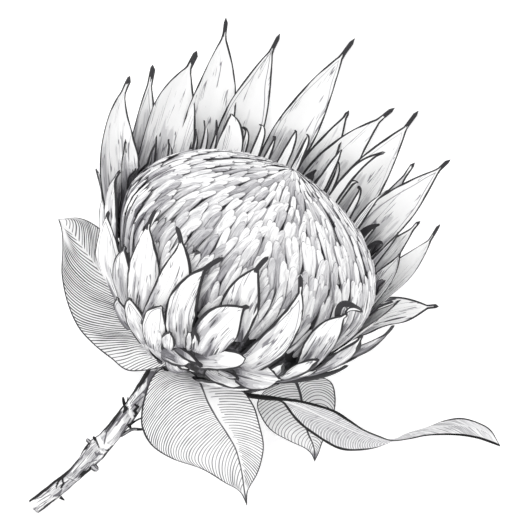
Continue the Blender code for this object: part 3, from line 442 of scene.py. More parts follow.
# Each leaf: the petiole's place along the stem and angle round it, the rest of the petiole's middle line, and
# the stations of the blade as (midrib, left margin, right margin) from its base to its tip
LEAVES = {
    "leaf_left": {
        "start": (0.926, 118),
        "petiole": [(-58.2, -44.5, 42.9)],
        "blade": [
            ((-56.8, -45.6, 47), (-46, -50, 58), (-54.2, -42, 42)),
            ((-62.5, -35.5, 35.6), (-66, -53.8, 44), (-55, -32.5, 34.7)),
            ((-66, -28.5, 32.3), (-76.5, -47.3, 36.1), (-57, -24, 30.3)),
            ((-70.5, -20.5, 28.9), (-85.5, -40, 35.6), (-60.5, -15, 26)),
            ((-76, -12, 26), (-93, -31.5, 33.2), (-65, -5, 22.6)),
            ((-82, -4, 23.1), (-98.3, -19.5, 29.9), (-70.5, 4, 19.3)),
            ((-88.5, 5, 20.2), (-101.2, -5.5, 25), (-76, 11.5, 16.4)),
            ((-94.5, 13, 17.3), (-100.9, 7.5, 21.2), (-83.5, 19, 14.4)),
            ((-99, 18.5, 15.4), (-101.3, 16, 17.3), (-92.5, 23.2, 14)),
            ((-103, 22.5, 13.5), (-103, 22.5, 13.5), (-103, 22.5, 13.5)),
        ],
    },
    "leaf_front": {
        "start": (0.969, 5),
        "petiole": [(-44, -53.5, 53)],
        "blade": [
            ((-39.5, -53.4, 52), (-43, -51.6, 50.4), (-37.2, -54.2, 52.2)),
            ((-35, -55.2, 55), (-49.3, -51.6, 49.8), (-29.5, -55.2, 55.5)),
            ((-32, -58.6, 58), (-54.8, -55.4, 49.2), (-21.8, -59, 57.4)),
            ((-30, -62.8, 59.5), (-58.5, -63, 48.1), (-10.6, -63.2, 56.4)),
            ((-27.5, -68.8, 59.2), (-61, -74, 46.7), (-4.5, -71, 53.4)),
            ((-23.5, -76, 54.9), (-60.5, -83, 43.8), (-2, -79, 46.7)),
            ((-18, -84.5, 46.7), (-55.5, -91.5, 39.5), (0.4, -90, 35.6)),
            ((-14, -91.5, 38), (-45.3, -98, 32.7), (-0.5, -98.5, 26)),
            ((-11.5, -100, 26.5), (-31, -103, 25), (-3, -106, 17.3)),
            ((-10, -108.5, 16.4), (-19.5, -110, 15.9), (-6.5, -112, 11.6)),
            ((-9.2, -115, 8.7), (-12, -114.5, 9.6), (-7.8, -115.5, 8)),
            ((-8, -122, 2.5), (-8, -122, 2.5), (-8, -122, 2.5)),
        ],
    },
    "leaf_small": {
        "start": (0.908, -60),
        "petiole": [(-43, -63, 39), (-22, -66, 37.1), (-2, -62.5, 33.7), (7, -59, 31.8)],
        "blade": [
            ((12, -57.5, 31.3), (8, -60.2, 31.3), (15.5, -56.4, 30.8)),
            ((16, -58.5, 30.8), (0.5, -64, 30.8), (25, -55.8, 29.9)),
            ((18.5, -64.5, 28.9), (-3, -70, 28.4), (34, -59, 27.9)),
            ((19.8, -71, 27), (-1.2, -76.5, 26.5), (36.5, -67, 26)),
            ((20.8, -78, 24.1), (4, -83.7, 23.6), (35.5, -76, 22.6)),
            ((22.5, -84.5, 20.7), (13, -89, 19.7), (32, -84.5, 19.7)),
            ((25, -90, 16.9), (20.5, -92.5, 16.4), (29.5, -91, 16.4)),
            ((26, -94.5, 14.4), (24, -95.5, 14), (28, -95.5, 14)),
            ((26, -99.5, 11.6), (26, -99.5, 11.6), (26, -99.5, 11.6)),
        ],
    },
    "leaf_curled": {
        "start": (0.945, -45),
        "petiole": [(-36, -60.5, 48.1), (-20, -63.5, 48.6), (-6, -66, 48.1), (2, -67, 47.7)],
        "blade": [
            ((9, -68, 46.7), (9, -66.8, 47.7), (9, -69.2, 45.7)),
            ((15.5, -70, 45.3), (16.5, -67.8, 47.7), (13, -74, 42.9)),
            ((23, -73.2, 43.8), (26.3, -70, 47.2), (18, -80, 38)),
            ((32, -77.5, 40.9), (36.5, -73.5, 45.7), (27, -86.8, 32.7)),
            ((40.5, -81.5, 36.6), (43.5, -78, 42.9), (38, -93, 27.4)),
            ((49, -85, 31.8), (50.5, -82.8, 39), (47.5, -93.9, 22.6)),
            ((57, -87.7, 27), (58.5, -86.3, 34.2), (57, -92.5, 17.8)),
            ((64.5, -88.9, 23.1), (65, -88.6, 29.9), (65, -89.2, 14.4)),
            ((72.5, -87, 19.3), (73.5, -88, 26), (72, -85.4, 12)),
            ((81.5, -84.5, 16.4), (81.5, -86.5, 22.1), (82.5, -82.2, 10.1)),
            ((91, -82.3, 14), (90.5, -86.1, 18.3), (91.5, -78.7, 9.6)),
            ((100.5, -82, 12), (99.5, -86.5, 15.4), (100, -77.5, 9.1)),
            ((109.5, -84, 10.1), (108, -88, 12), (108.5, -79.8, 8.2)),
            ((115, -87.5, 8.7), (114.5, -90.2, 9.1), (115, -83.8, 8)),
            ((119.5, -92, 7.5), (119.5, -92, 7.5), (119.5, -92, 7.5)),
        ],
    },
}

# Side veins of each leaf, left half then right half: rows of (number of veins from the base, station where
# that vein leaves the midrib, station where it meets the margin, bow towards the base in stations)
VEINS = {
    "leaf_left": (
        [(-9, -1.8, -0.1, 0), (0, -0.5, 1.15, 0), (3, -0.2, 1.7, 0), (7, 0.2, 2.5, -0.1),
         (11, 0.7, 3.3, 0), (13, 1, 3.75, 0.15), (15, 1.25, 4.1, 0.25), (17, 1.55, 4.42, 0.3),
         (21, 1.9, 5.2, 0.2), (24, 2.15, 5.75, 0.05), (28, 2.5, 6.3, -0.15), (33, 3.1, 7.07, -0.3),
         (38, 4.2, 8.2, -0.45), (42, 5.7, 8.5, -0.3), (46, 7.5, 8.9, 0)],
        [(0, -1, 1, 0), (22, 4, 5.6, 0), (30, 5, 6.8, 0), (33, 5.25, 7.25, 0), (37, 5.7, 7.85, 0),
         (41, 6.5, 8.35, 0), (46, 8.2, 8.9, 0)],
    ),
    "leaf_front": (
        [(0, -0.5, 0.6, 0.2), (4, 0.5, 2.2, 0.5), (9, 1.5, 3.6, 0.9), (15, 2.7, 4.8, 0.95),
         (22, 3.7, 6, 0.8), (32, 4.9, 7.26, 0.5), (39, 5.5, 8, 0.2), (45, 6.15, 8.7, -0.15),
         (50, 7.1, 9.5, -0.3), (53, 8, 10, -0.2), (56, 9.4, 10.5, 0)],
        [(0, 0.5, 0.6, 0), (8, 3.2, 3, 0.1), (15, 4.6, 4.4, 0.2), (19, 5.2, 5.1, 0.2),
         (23, 5.8, 5.75, 0.2), (27, 6.3, 6.3, 0.2), (31, 6.9, 7.1, 0.15), (36, 7.5, 7.9, 0.1),
         (41, 8.3, 9, 0), (44, 9, 9.7, 0)],
    ),
    "leaf_small": (
        [(0, 0.3, 0, 0.3), (3, 1.2, 1, 0.4), (8, 2, 2.4, 0.4), (11, 2.6, 3.1, 0.4), (15, 3.4, 4.2, 0.4),
         (20, 4.4, 5.1, 0.3), (24, 5.2, 6, 0.1), (28, 6.2, 7, 0)],
        [(0, 0.3, 0.4, 0.3), (3, 1.2, 1.6, 0.4), (7, 2, 2.7, 0.6), (11, 2.8, 3.5, 0.7),
         (16, 4, 4.6, 0.5), (22, 5, 5.6, 0.3), (28, 6.4, 7.2, 0)],
    ),
    "leaf_curled": (
        [(0, 0, 0.3, 0), (48, 6.4, 6.7, 0), (54, 7.6, 8.4, 0), (66, 10, 11.2, 0), (86, 13, 14, 0)],
        [(0, 0, -0.2, 0.3), (48, 6.4, 6.2, 0.3), (54, 7.6, 7.2, 0), (66, 10, 8.8, 0), (86, 13, 12, 0)],
    ),
}

# Inks. Greys are levels on the page, from 0 to 255. A pair is where a mark starts to show and where it shows
# in full, tones are the greys of a wash, and a noise has its scale across and along, its detail and its seed.
WHITE = 255
MIDDLE_GREY = 128
COOLNESS = 3.0
SPECULAR = 0.25
BUMP_DEPTH = 0.0002
BUMP_STRENGTH = 0.5
CHANCE_STEP = 97.0
EDGE_SOFT = 0.16

# Bract inks: distances from the root where the wash of painted shade is darkest and where it ends, extra
# width of the outline where it is pressed, and how uneven the wash is
TALL_LOOK = (24, 56, 0.6, 1.9)
FRONT_LOOK = (8, 46, 1.1, 2.6)
SCALE_LOOK = (2, 24, 1.1, 2.4)
UNDER_LOOK = (4, 44, 0.6, 2.6)
SPIKE_LOOK = (20, 50, 0.6, 2.0)
BRACT_ROUGHNESS = 0.62
WASH_NOISE = (0.34, 0.05, 1.0, 0.0)
WASH_SHADE = 0.7
WASH_GAIN = 0.7
WASH_TONES = [(0.0, 255), (0.36, 240), (0.43, 223), (0.62, 198), (0.78, 160), (0.90, 112)]
THREAD_NOISE = (0.62, 0.03, 1.0, 5.0)
THREAD_LINE = (0.026, 0.012)
THREAD_REACH = 1.3
THREAD_BREAKS = (0.3, 0.06, 1.0, 8.0)
THREAD_FADE = 0.25
THREAD_SHOWN = (0.55, 0.59)
THREAD_GREY = 145
STROKE_NOISE = (0.7, 0.05, 1.0, 12.0)
STROKE_FADE = 0.12
STROKE_SHOWN = (0.62, 0.65)
STROKE_GREY = 84
FOLD_NOISE = (0.05, 0.05, 0.0, 21.0)
FOLD_SWING = 4.0
FOLD_EDGE = 0.2
FOLD_LINE = (0.26, 0.12)
FOLD_CHANCE = (0.70, 0.74)
FOLD_GREY = 150
PRESSURE_NOISE = (0.05, 0.08, 1.0, 3.0)
PRESSED = (0.32, 0.66)
EDGE_WIDTH = 0.42
EDGE_GREY = 54
TIP_NOISE = (1.2, 0.25, 1.0, 2.0)
TIP_SWING = 1.2
TIP_LEAST = 0.5
TIP_LINE = (0.3, 0.0)
TIP_GREY = 60

# Floret ink: what its wash is made of, its outline, and the outline's greys in the painted light and in the
# painted shade
FLORET_ROUGHNESS = 0.75
FLORET_NOISE = (0.7, 0.12, 2.0, 0.0)
FLORET_BLOTCH = 1.2
CHANCE_WASH = 0.5
# Painted shade that greys each floret towards its root, where it goes under the others
PAINTED_ROOT_SHADE = 0.013
SHADED_CHANCE = 0.8
CHANCE_MIDDLE = 0.4
SHADE_WASH = 0.22
FLORET_TONES = [(0.0, 254), (0.10, 241), (0.18, 224), (0.32, 206), (0.50, 180), (0.70, 144), (0.86, 104)]
FLORET_PRESSURE = (0.15, 0.15, 1.0, 3.0)
FLORET_PRESSED = (0.34, 0.66)
FLORET_WEIGHT = 0.5
SHADED_WEIGHT = 0.3
FLORET_EDGE = 0.22
FLORET_GREYS = (160, 56)
FLORET_SHADED = (-0.2, 0.8)

# Leaf inks. ground, vein, rib, margin and petiole are greys. line and rib_width are half widths. band is the
# width of the bare band right of the midrib, and edges are the widths of the left and right margin lines.
# hatched is the station where the hatching of the base ends, grey_tip where the tip turns grey, and turned_at
# where the blade shows its other side.
NEVER = 99.0
PLAIN_LEAF = {"ground": 255, "margin": 70, "petiole": 225, "grey_tip": NEVER, "turned_at": NEVER}
LEAF_LOOKS = {
    "leaf_left": dict(PLAIN_LEAF, vein=88, line=0.17, rib=254, rib_width=0.0, band=0.0, edges=(0.66, 0.66),
                      hatched=0.3),
    "leaf_front": dict(PLAIN_LEAF, vein=112, line=0.14, rib=84, rib_width=0.42, band=4.5, margin=58,
                       edges=(1.0, 0.8), hatched=2.6, grey_tip=10.0),
    "leaf_small": dict(PLAIN_LEAF, vein=106, line=0.10, rib=66, rib_width=0.45, band=0.3, edges=(0.6, 0.6),
                       hatched=0.6, grey_tip=6.6),
    "leaf_curled": dict(PLAIN_LEAF, ground=196, vein=250, line=0.13, rib=254, rib_width=0.35, band=0.2,
                        margin=14, edges=(1.6, 1.7), hatched=0.2, turned_at=7.4, petiole=30),
}
LEAF_ROUGHNESS = 0.5
MIDRIB = (-0.03, 0.03)

# Noises of the leaves, as (scale by vein, scale across, seed)
VEIN_WEIGHT = (7.3, 0.12, 0.0)
GRAIN_NOISE = (1.1, 0.3, 5.0)
HATCH_NOISE = (1.3, 0.12, 9.0)
WOBBLE_SCALE = 0.10
WOBBLE_SEED = 3.0
WOBBLE_RANGE = (0.35, 0.65)

# Where the marks of a leaf show, and their greys
VEIN_PRESSED = (0.3, 0.7)
VEIN_SOFT = 0.14
VEIN_CROWDED = (0.45, 0.8)
BAND_START = (1.2, 3.2)
BAND_END = (9.5, 6.5)
BAND_LEAST = 0.3
BAND_SOFT = 0.6
GRAIN_SHOWN = (0.58, 0.64)
GRAIN_GREY = 158
BACK_GREYS = (228, 250)
BACK_GRAIN = (0.5, 0.56)
BACK_PRESSED = (0.42, 0.5)
BACK_VEIN = 130
BACK_FADE = 0.4
HATCH_FADE = 0.8
HATCH_REACH = (8.0, 3.0)
HATCH_SHOWN = (0.45, 0.55)
HATCH_GREY = 186
LEAF_TIP_FADE = 0.5
LEAF_TIP_GREY = 150
RIB_BASE = (3.0, 1.0)
RIB_SOFT = 0.15
RIB_FADE = 0.5
TURN_LENGTH = 0.6
TURNED_EDGE = 1.15
LEAF_EDGE_SOFT = 0.12

# Stem ink
STEM_ROUGHNESS = 0.8
BARK_BUMP = 0.0003
BARK_NOISE = (0.30, 0.07, 2.0, 0.0)
BARK_TONES = [(0.0, 176), (0.38, 206), (0.47, 228), (0.55, 250)]
BARK_STROKES = (1.3, 0.07, 1.0, 7.0)
BARK_LINE = (0.05, 0.025)
BARK_BREAKS = (0.3, 0.12, 1.0, 31.0)
BARK_SHOWN = (0.46, 0.52)
BARK_GREY = 110
WHITE_MARK = (0.15, -0.05)
GREY_MARK = (0.12, -0.06)
MARK_GREY = 112
FRINGE_NOISE = (1.8, 0.12, 1.0, 3.0)
FRINGE_WIDTH = 2.0
FRINGE_EDGE = (1.25, 1.1)
FRINGE_GREY = 92
RAGGED_NOISE = (0.8, 0.25, 1.0, 13.0)
RAGGED_WIDTH = 0.5
BLACK_MARK = (0.10, -0.08)
MARK_BLACK = 34
DARK_STUB = (0.5, 0.6)

# Mottled greys of the cup and the core, as (dark, light, scale): painted shade, charcoal on the cup between
# the bracts and grey on the core between the florets
PLAIN_ROUGHNESS = 0.85
CUP_SHADE = (40, 110, 0.3)
CORE_SHADE = (150, 190, 0.4)


def mix(a, b, share):
    return a + (b - a) * share


def unit(vectors):
    """The vectors at length 1."""
    lengths = np.linalg.norm(vectors, axis=-1, keepdims=True)
    return vectors / np.maximum(lengths, TINY)


def directions(azimuth):
    """Outward and sideways vectors of the head at an azimuth or an array of azimuths."""
    angle = np.radians(azimuth)[..., None]
    outward = np.cos(angle) * UPPER + np.sin(angle) * RIGHT
    sideways = np.cos(angle) * RIGHT - np.sin(angle) * UPPER
    return outward, sideways


def head_points(radius, azimuth, height):
    """Points of the head, from arrays that fit together."""
    outward, _ = directions(azimuth)
    return HEAD_BASE + np.asarray(height)[..., None] * AXIS + np.asarray(radius)[..., None] * outward


def profile_radius(profile, height):
    """The radius of a profile at a height or an array of heights."""
    points = sorted(profile, key=lambda point: point[1])
    return np.interp(height, [point[1] for point in points], [point[0] for point in points])


def smooth_line(points, places):
    """Points at places from 0 to 1 along a list, on the smooth curve through its points."""
    points = np.array(points, float)
    ends = np.vstack([2 * points[0] - points[1], points, 2 * points[-1] - points[-2]])
    last = len(points) - 1
    index = np.minimum((np.asarray(places) * last).astype(int), last - 1)
    t = (np.asarray(places) * last - index)[..., None]
    a, b, c, d = (ends[index + k] for k in range(4))
    square = (2 * a - 5 * b + 4 * c - d) * t * t
    cube = (3 * b - a - 3 * c + d) * t ** 3
    return 0.5 * (2 * b + (c - a) * t + square + cube)


def bezier(a, b, c, share):
    return (1 - share) ** 2 * a + 2 * share * (1 - share) * b + share ** 2 * c


def line_length(points):
    """The distance along a line of points, from 0 at its first one."""
    return np.concatenate([[0], np.cumsum(np.linalg.norm(np.diff(points, axis=0), axis=1))])


class Body:
    """Vertices, faces and attributes of one piece, gathered from many small closed shells."""

    def __init__(self):
        self.points = []
        self.faces = []
        self.values = {name: [] for name in ATTRIBUTES}

    def add(self, points, faces, **values):
        start = len(self.points)
        self.points += [tuple(point * MM) for point in points]
        self.faces += [tuple(start + corner for corner in face) for face in faces]
        for name in ATTRIBUTES:
            given = values.get(name, 0.0)
            if np.ndim(given):
                self.values[name] += [float(value) for value in given]
            else:
                self.values[name] += [float(given)] * len(points)

    def piece(self, name, finish, slot, nodes):
        """Makes the object, which replaces the nodes of the frame."""
        mesh = bpy.data.meshes.new(name)
        mesh.from_pydata(self.points, [], self.faces)
        for attribute, values in self.values.items():
            layer = mesh.attributes.new(attribute, "FLOAT", "POINT")
            layer.data.foreach_set("value", np.array(values, np.float32))
        shells = bmesh.new()
        shells.from_mesh(mesh)
        bmesh.ops.recalc_face_normals(shells, faces=shells.faces)
        shells.to_mesh(mesh)
        shells.free()
        mesh.shade_smooth()
        mesh.set_sharp_from_angle(angle=SHARP_ANGLE)
        mesh.materials.append(finish)
        thing = bpy.data.objects.new(name, mesh)
        bpy.context.scene.collection.objects.link(thing)
        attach(thing, "root")
        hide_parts(*nodes)


def ring_faces(rings, size):
    """Faces of a tube of rings with the same count of corners, then a tip vertex, and a cap at its start."""
    faces = []
    for ring in range(rings - 1):
        for corner in range(size):
            after = (corner + 1) % size
            a, b = ring * size, (ring + 1) * size
            faces.append((a + corner, a + after, b + after, b + corner))
    end = (rings - 1) * size
    for corner in range(size):
        faces.append((end + corner, end + (corner + 1) % size, rings * size))
    faces.append(tuple(range(size))[::-1])
    return faces


def add_blade(body, surface, half_width, thickness, grid, relief, **values):
    """A closed blade round the surface (u from -1 to 1 across, v from 0 to 1 along), thin at its margins.

    half_width gives the distance from the middle to the margin at u, v, and relief the height of its bumps.
    grid is the count of rows and columns. The values are attributes, as numbers or as functions of u and v.
    """
    rows, columns = grid
    u, v = np.meshgrid(np.linspace(-1, 1, columns + 1), np.linspace(0, 1, rows + 1))
    middle = surface(u, v)
    normal = unit(np.cross(np.gradient(middle, axis=1), np.gradient(middle, axis=0)))
    normal[-1] = normal[-2]
    middle = middle + normal * relief(u, v)[..., None]
    half = (thickness(u, v) / 2 * np.sqrt(np.maximum(1 - u ** 4, 0)))[..., None]
    front, back = middle + normal * half, middle - normal * half
    width = half_width(u, v)
    along = line_length(middle[:, columns // 2])
    along = np.repeat(along[:, None], columns + 1, axis=1)

    def ringed(front_values, back_values):
        rows_of = [np.concatenate([f, b[-2:0:-1]]) for f, b in zip(front_values[:-1], back_values[:-1])]
        tip = front_values[-1][columns // 2]
        return np.concatenate(rows_of + [np.array([tip])])

    margin = width * (1 - np.abs(u))
    given = {"across": u * width, "margin": margin, "along": along, "tip": along[-1, 0] - along}
    for name, value in values.items():
        given[name] = value(u, v) if callable(value) else np.full(u.shape, float(value))
    given = {name: ringed(value, value) for name, value in given.items()}
    body.add(ringed(front, back), ring_faces(rows, 2 * columns), **given)


def blade_width(v, widest, blunt):
    """The share of a bract's width at v: rounded below the widest place, pointed above it unless blunt."""
    low = mix(mix(*ROOT_WIDTHS, blunt), 1.0, np.sin(np.pi / 2 * np.minimum(v / widest, 1)))
    high = np.cos(np.pi / 2 * np.clip((v - widest) / (1 - widest), 0, 1)) ** mix(*TIP_POWERS, blunt)
    return np.where(v < widest, low, high)


def clear_of_head(points):
    """The points moved outward where they would touch the dome, and up where they would touch the surface."""
    local = points - HEAD_BASE
    height = local @ AXIS
    across = local - height[..., None] * AXIS
    radius = np.linalg.norm(across, axis=-1)
    clear = np.where(height > DOME_RIM, profile_radius(DOME, height) + DOME_CLEAR, 0)
    points = points + across * (np.maximum(clear / np.maximum(radius, TINY), 1) - 1)[..., None]
    points[..., 2] = np.maximum(points[..., 2], FLOOR_CLEAR + BRACT_THICK / 2)
    return points


def add_bract(body, root, middle, tip, width, facing=0.0, grid=(24, 10), dark=0.0, wave=0.5, hook=0.0,
              shade=0.0, widest=0.44, blunt=0.0, fold=BRACT_CURL, point=FINGER_WIDTH, heavy=0.0):
    """A bract whose middle line runs through the root, middle and tip, each (azimuth, radius, height).

    The blade starts a little before the root, inside the head. Above 0, facing turns its outer side to the
    sky, and below 0 its inner side. dark is the length of the charcoal tip, and point the width of the
    finger that it ends in. wave is the height of the waves in its margins, hook bends the tip sideways, and
    fold curls the margins. heavy widens the dark line of its right margin.
    """
    chance = random.Random(int(root[0] * 7 + root[2] * 131 + tip[0] * 977))
    phase = chance.uniform(0, 6)
    control = [2 * m - (a + b) / 2 for a, m, b in zip(root, middle, tip)]
    azimuths, radii, heights = (np.array(pair, float) for pair in zip(root, tip))
    ends = head_points(radii, azimuths, heights)
    finger = (dark % ALL_DARK + FINGER_LENGTH) / float(np.linalg.norm(ends[1] - ends[0]))

    def half_width(u, v):
        blade = width / 2 * blade_width(np.minimum(v / (1 - finger * FINGER_BARE), 1), widest, blunt)
        end = np.clip((v - 1 + finger * FINGER_ROUND) / (finger * FINGER_ROUND), 0, 1)
        finger_end = point / 2 * np.sqrt(1 - end ** 2)
        return np.where(v > 0.5, np.maximum(blade, finger_end), blade)

    def surface(u, v):
        half = half_width(u, v)
        v = v * (1 + ROOT_REACH) - ROOT_REACH
        azimuth, radius, height = (bezier(a, c, b, v) for a, c, b in zip(root, control, tip))
        centre = head_points(radius, azimuth, height)
        ahead = unit(np.gradient(centre, axis=0))
        side = unit(np.cross(ahead, directions(azimuth)[0] + facing * SKY))
        outer = np.cross(side, ahead)
        bend = hook * np.clip((v - HOOK_START) / (1 - HOOK_START), 0, 1) ** 2
        curl = fold * half * u * u * np.clip(v / CURL_START, 0, 1)
        return clear_of_head(centre + side * (u * half + bend)[..., None] - outer * curl[..., None])

    def thickness(u, v):
        return BRACT_THICK * (1 - TIP_THINNING * v)

    def relief(u, v):
        rib = RIB_HEIGHT * np.cos(u * RIB_WAVES + phase) * (1 - u * u)
        edge = wave * np.sin(v * EDGE_WAVES + phase + u) * u * u * np.sin(np.pi * v) ** 2
        return (rib + edge) * np.clip(v / RELIEF_START, 0, 1)

    def margin(u, v):
        return half_width(u, v) * (1 - np.abs(u)) - np.where(u > 0, heavy, 0)

    add_blade(body, surface, half_width, thickness, grid, relief, margin=margin, chance=chance.random(),
              tone=dark, shade=shade)


def heavy_edge(azimuth, start, width):
    """The extra width of the dark line on a bract's right margin, from nothing at the azimuth start."""
    return width * min(max((azimuth - start) / HEAVY_FADE, 0.0), 1.0)


def cup_root(height):
    return float(profile_radius(CUP_OUTSIDE, height)) - BRACT_SINK


def middle_between(root, tip, shares, bulge, lean=0.0):
    """A place between the root and the tip, moved outward by the bulge and round the head by the lean."""
    azimuth, radius, height = (mix(a, b, share) for a, b, share in zip(root, tip, shares))
    return azimuth + lean, radius + bulge, height


def make_tall_bracts():
    body = Body()
    for azimuth, tip, lean, width, facing, dark, shade in TALL_BRACTS:
        root = (azimuth, cup_root(TALL_ROOT), TALL_ROOT)
        middle = middle_between(root, tip, TALL_MIDDLE, TALL_BULGE, lean)
        point = BLOB_WIDTH if BLOB_SIDE[0] < azimuth < BLOB_SIDE[1] else FINGER_WIDTH
        add_bract(body, root, middle, tip, width, -facing, (48, 14), dark=dark, wave=0.8, shade=shade,
                  widest=TALL_WIDEST, point=point)
    return body


def make_front_bracts():
    body = Body()
    for root, middle, tip, width, hook, dark, shade in FRONT_BRACTS:
        add_bract(body, root, middle, tip, width, FRONT_FACING, (40, 12), dark=dark, wave=0.4, hook=hook,
                  shade=shade, fold=FRONT_CURL, point=FRONT_POINT, heavy=heavy_edge(root[0], *FRONT_HEAVY))
    for root, middle, tip, width, dark in ROLLED_TIP:
        # The second row is drawn white, with shade below 0: a painted highlight on the rolled tip.
        add_bract(body, root, middle, tip, width, FRONT_FACING, (20, 8), dark=ALL_DARK * dark, wave=0.0,
                  shade=dark - 2, blunt=BLUNT_END, fold=0)
    return body


def make_scales():
    """Scales on the upper side of the cup, at its sides in painted shade, round its hidden side, and dark
    ones at its base, with a black scale painted as the shade of its lower right edge.
    """
    body = Body()
    for root, middle, tip, width, shade, blunt in FRONT_SCALES:
        add_bract(body, root, middle, tip, width, FRONT_FACING, (26, 10), wave=0.3, shade=shade, blunt=blunt,
                  fold=FRONT_CURL, heavy=heavy_edge(root[0], *SCALE_HEAVY))
    for root, middle, tip, width in SIDE_SCALES:
        add_bract(body, root, middle, tip, width, grid=(20, 10), wave=0.3, shade=SIDE_SHADE,
                  heavy=heavy_edge(root[0], *SIDE_HEAVY))
    # A black scale painted as the shade along the cup's lower right edge.
    add_bract(body, *SHADED_LOWER_EDGE, SHADED_LOWER_EDGE_WIDTH, FRONT_FACING, (24, 8), dark=ALL_DARK, wave=0.0,
              blunt=BLUNT_END)
    chance = random.Random(SEED)
    for row, (step, height, length, width, stand) in enumerate(SCALE_ROWS):
        azimuth = HIDDEN_SIDE[0] + row * step / len(SCALE_ROWS)
        while azimuth < HIDDEN_SIDE[1]:
            root = (azimuth, cup_root(height), height)
            reach = length * chance.uniform(*SCALE_LENGTHS) * mix(*SCALE_REACH, height / SCALE_TOP)
            tip_height = height + reach
            tip_radius = float(profile_radius(CUP_OUTSIDE, min(tip_height, CUP_OUTSIDE[-1][1]))) + stand
            tip = (azimuth + chance.uniform(-SCALE_TURN, SCALE_TURN), tip_radius, tip_height)
            middle = middle_between(root, tip, SCALE_MIDDLE, SCALE_BULGE)
            add_bract(body, root, middle, tip, width, grid=(18, 10))
            azimuth += step
    azimuth = chance.uniform(0, BASAL_STEP)
    while azimuth < 360:
        root, middle, tip = ((azimuth + chance.uniform(-BASAL_TURN, BASAL_TURN), *place)
                             for place in BASAL_LINE)
        add_bract(body, root, middle, tip, BASAL_WIDTH, grid=(14, 8), wave=0.3, shade=BASAL_SHADE)
        azimuth += BASAL_STEP
    return body


def make_under_bracts():
    """Bracts between the scales and the tall bracts, round the hidden side."""
    body = Body()
    chance = random.Random(SEED + 1)
    for row, (step, height, length, width) in enumerate(UNDER_ROWS):
        azimuth = HIDDEN_SIDE[0] + UNDER_START + row * step / 2
        while azimuth < HIDDEN_SIDE[1]:
            root = (azimuth, cup_root(height), height)
            tip_height = height + length * chance.uniform(*UNDER_LENGTHS)
            tip_radius = UNDER_TIP[0] + (tip_height - UNDER_TIP[1]) * UNDER_FLARE
            tip_radius = tip_radius + chance.uniform(0, UNDER_STAND)
            tip = (azimuth + chance.uniform(-UNDER_TURN, UNDER_TURN), tip_radius, tip_height)
            middle = middle_between(root, tip, UNDER_MIDDLE, UNDER_BULGE)
            add_bract(body, root, middle, tip, width, dark=UNDER_DARK)
            azimuth += step
    return body


def make_spikes():
    """Narrow spikes round the rim of the dome, in front of the tall bracts, and dark blades painted as the
    shade in its crevices.
    """
    body = Body()
    for middle, tip, width, hook, dark, shade in SPIKES:
        root = (middle[0], cup_root(SPIKE_ROOT), SPIKE_ROOT)
        tip = (middle[0] + (tip[0] - middle[0] + 180) % 360 - 180, *tip[1:])
        add_bract(body, root, middle, tip, width * SPIKE_WIDTH, SPIKE_FACING, (28, 8), dark=dark, wave=0.2,
                  hook=hook, shade=shade + SPIKE_SHADE, widest=SPIKE_WIDEST, point=SPIKE_POINT)
    return body


def turned(profile, steps=96):
    """A closed shell of revolution round the head's axis, from a profile that starts and ends on it."""
    body = Body()
    inner = profile[1:-1]
    angles = np.arange(steps) * 360 / steps
    rings = [head_points(np.full(steps, float(radius)), angles, np.full(steps, float(height)))
             for radius, height in inner]
    ends = [HEAD_BASE + point[1] * AXIS for point in (profile[-1], profile[0])]
    faces = ring_faces(len(rings), steps)[:-1]
    faces += [((corner + 1) % steps, corner, len(rings) * steps + 1) for corner in range(steps)]
    along = np.repeat([float(height) for _, height in inner], steps)
    across = np.concatenate([np.radians(angles) * radius for radius, _ in inner])
    body.add(np.vstack(rings + ends), faces, across=np.append(across, [0, 0]),
             along=np.append(along, [profile[-1][1], profile[0][1]]))
    return body


def inset(profile, distance):
    """The profile moved inward, square to itself."""
    points = np.array(profile, float)
    along = unit(np.gradient(points, axis=0))
    moved = points + distance * np.stack([-along[:, 1], along[:, 0]], axis=1)
    moved[0, 0] = 0.0
    return [tuple(point) for point in np.maximum(moved, [0, LOWEST_HEIGHT])]


def make_cup():
    outside = inset(CUP_OUTSIDE, CUP_INSET)
    inside = inset(CUP_OUTSIDE, CUP_INSET + CUP_WALL)[::-1]
    return turned(outside + inside)


def make_core():
    top = inset(DOME_TOP, -CORE_DEPTH)
    seat = inset(CUP_OUTSIDE, CUP_INSET + CUP_WALL + GAP)[::-1]
    return turned(top + seat)


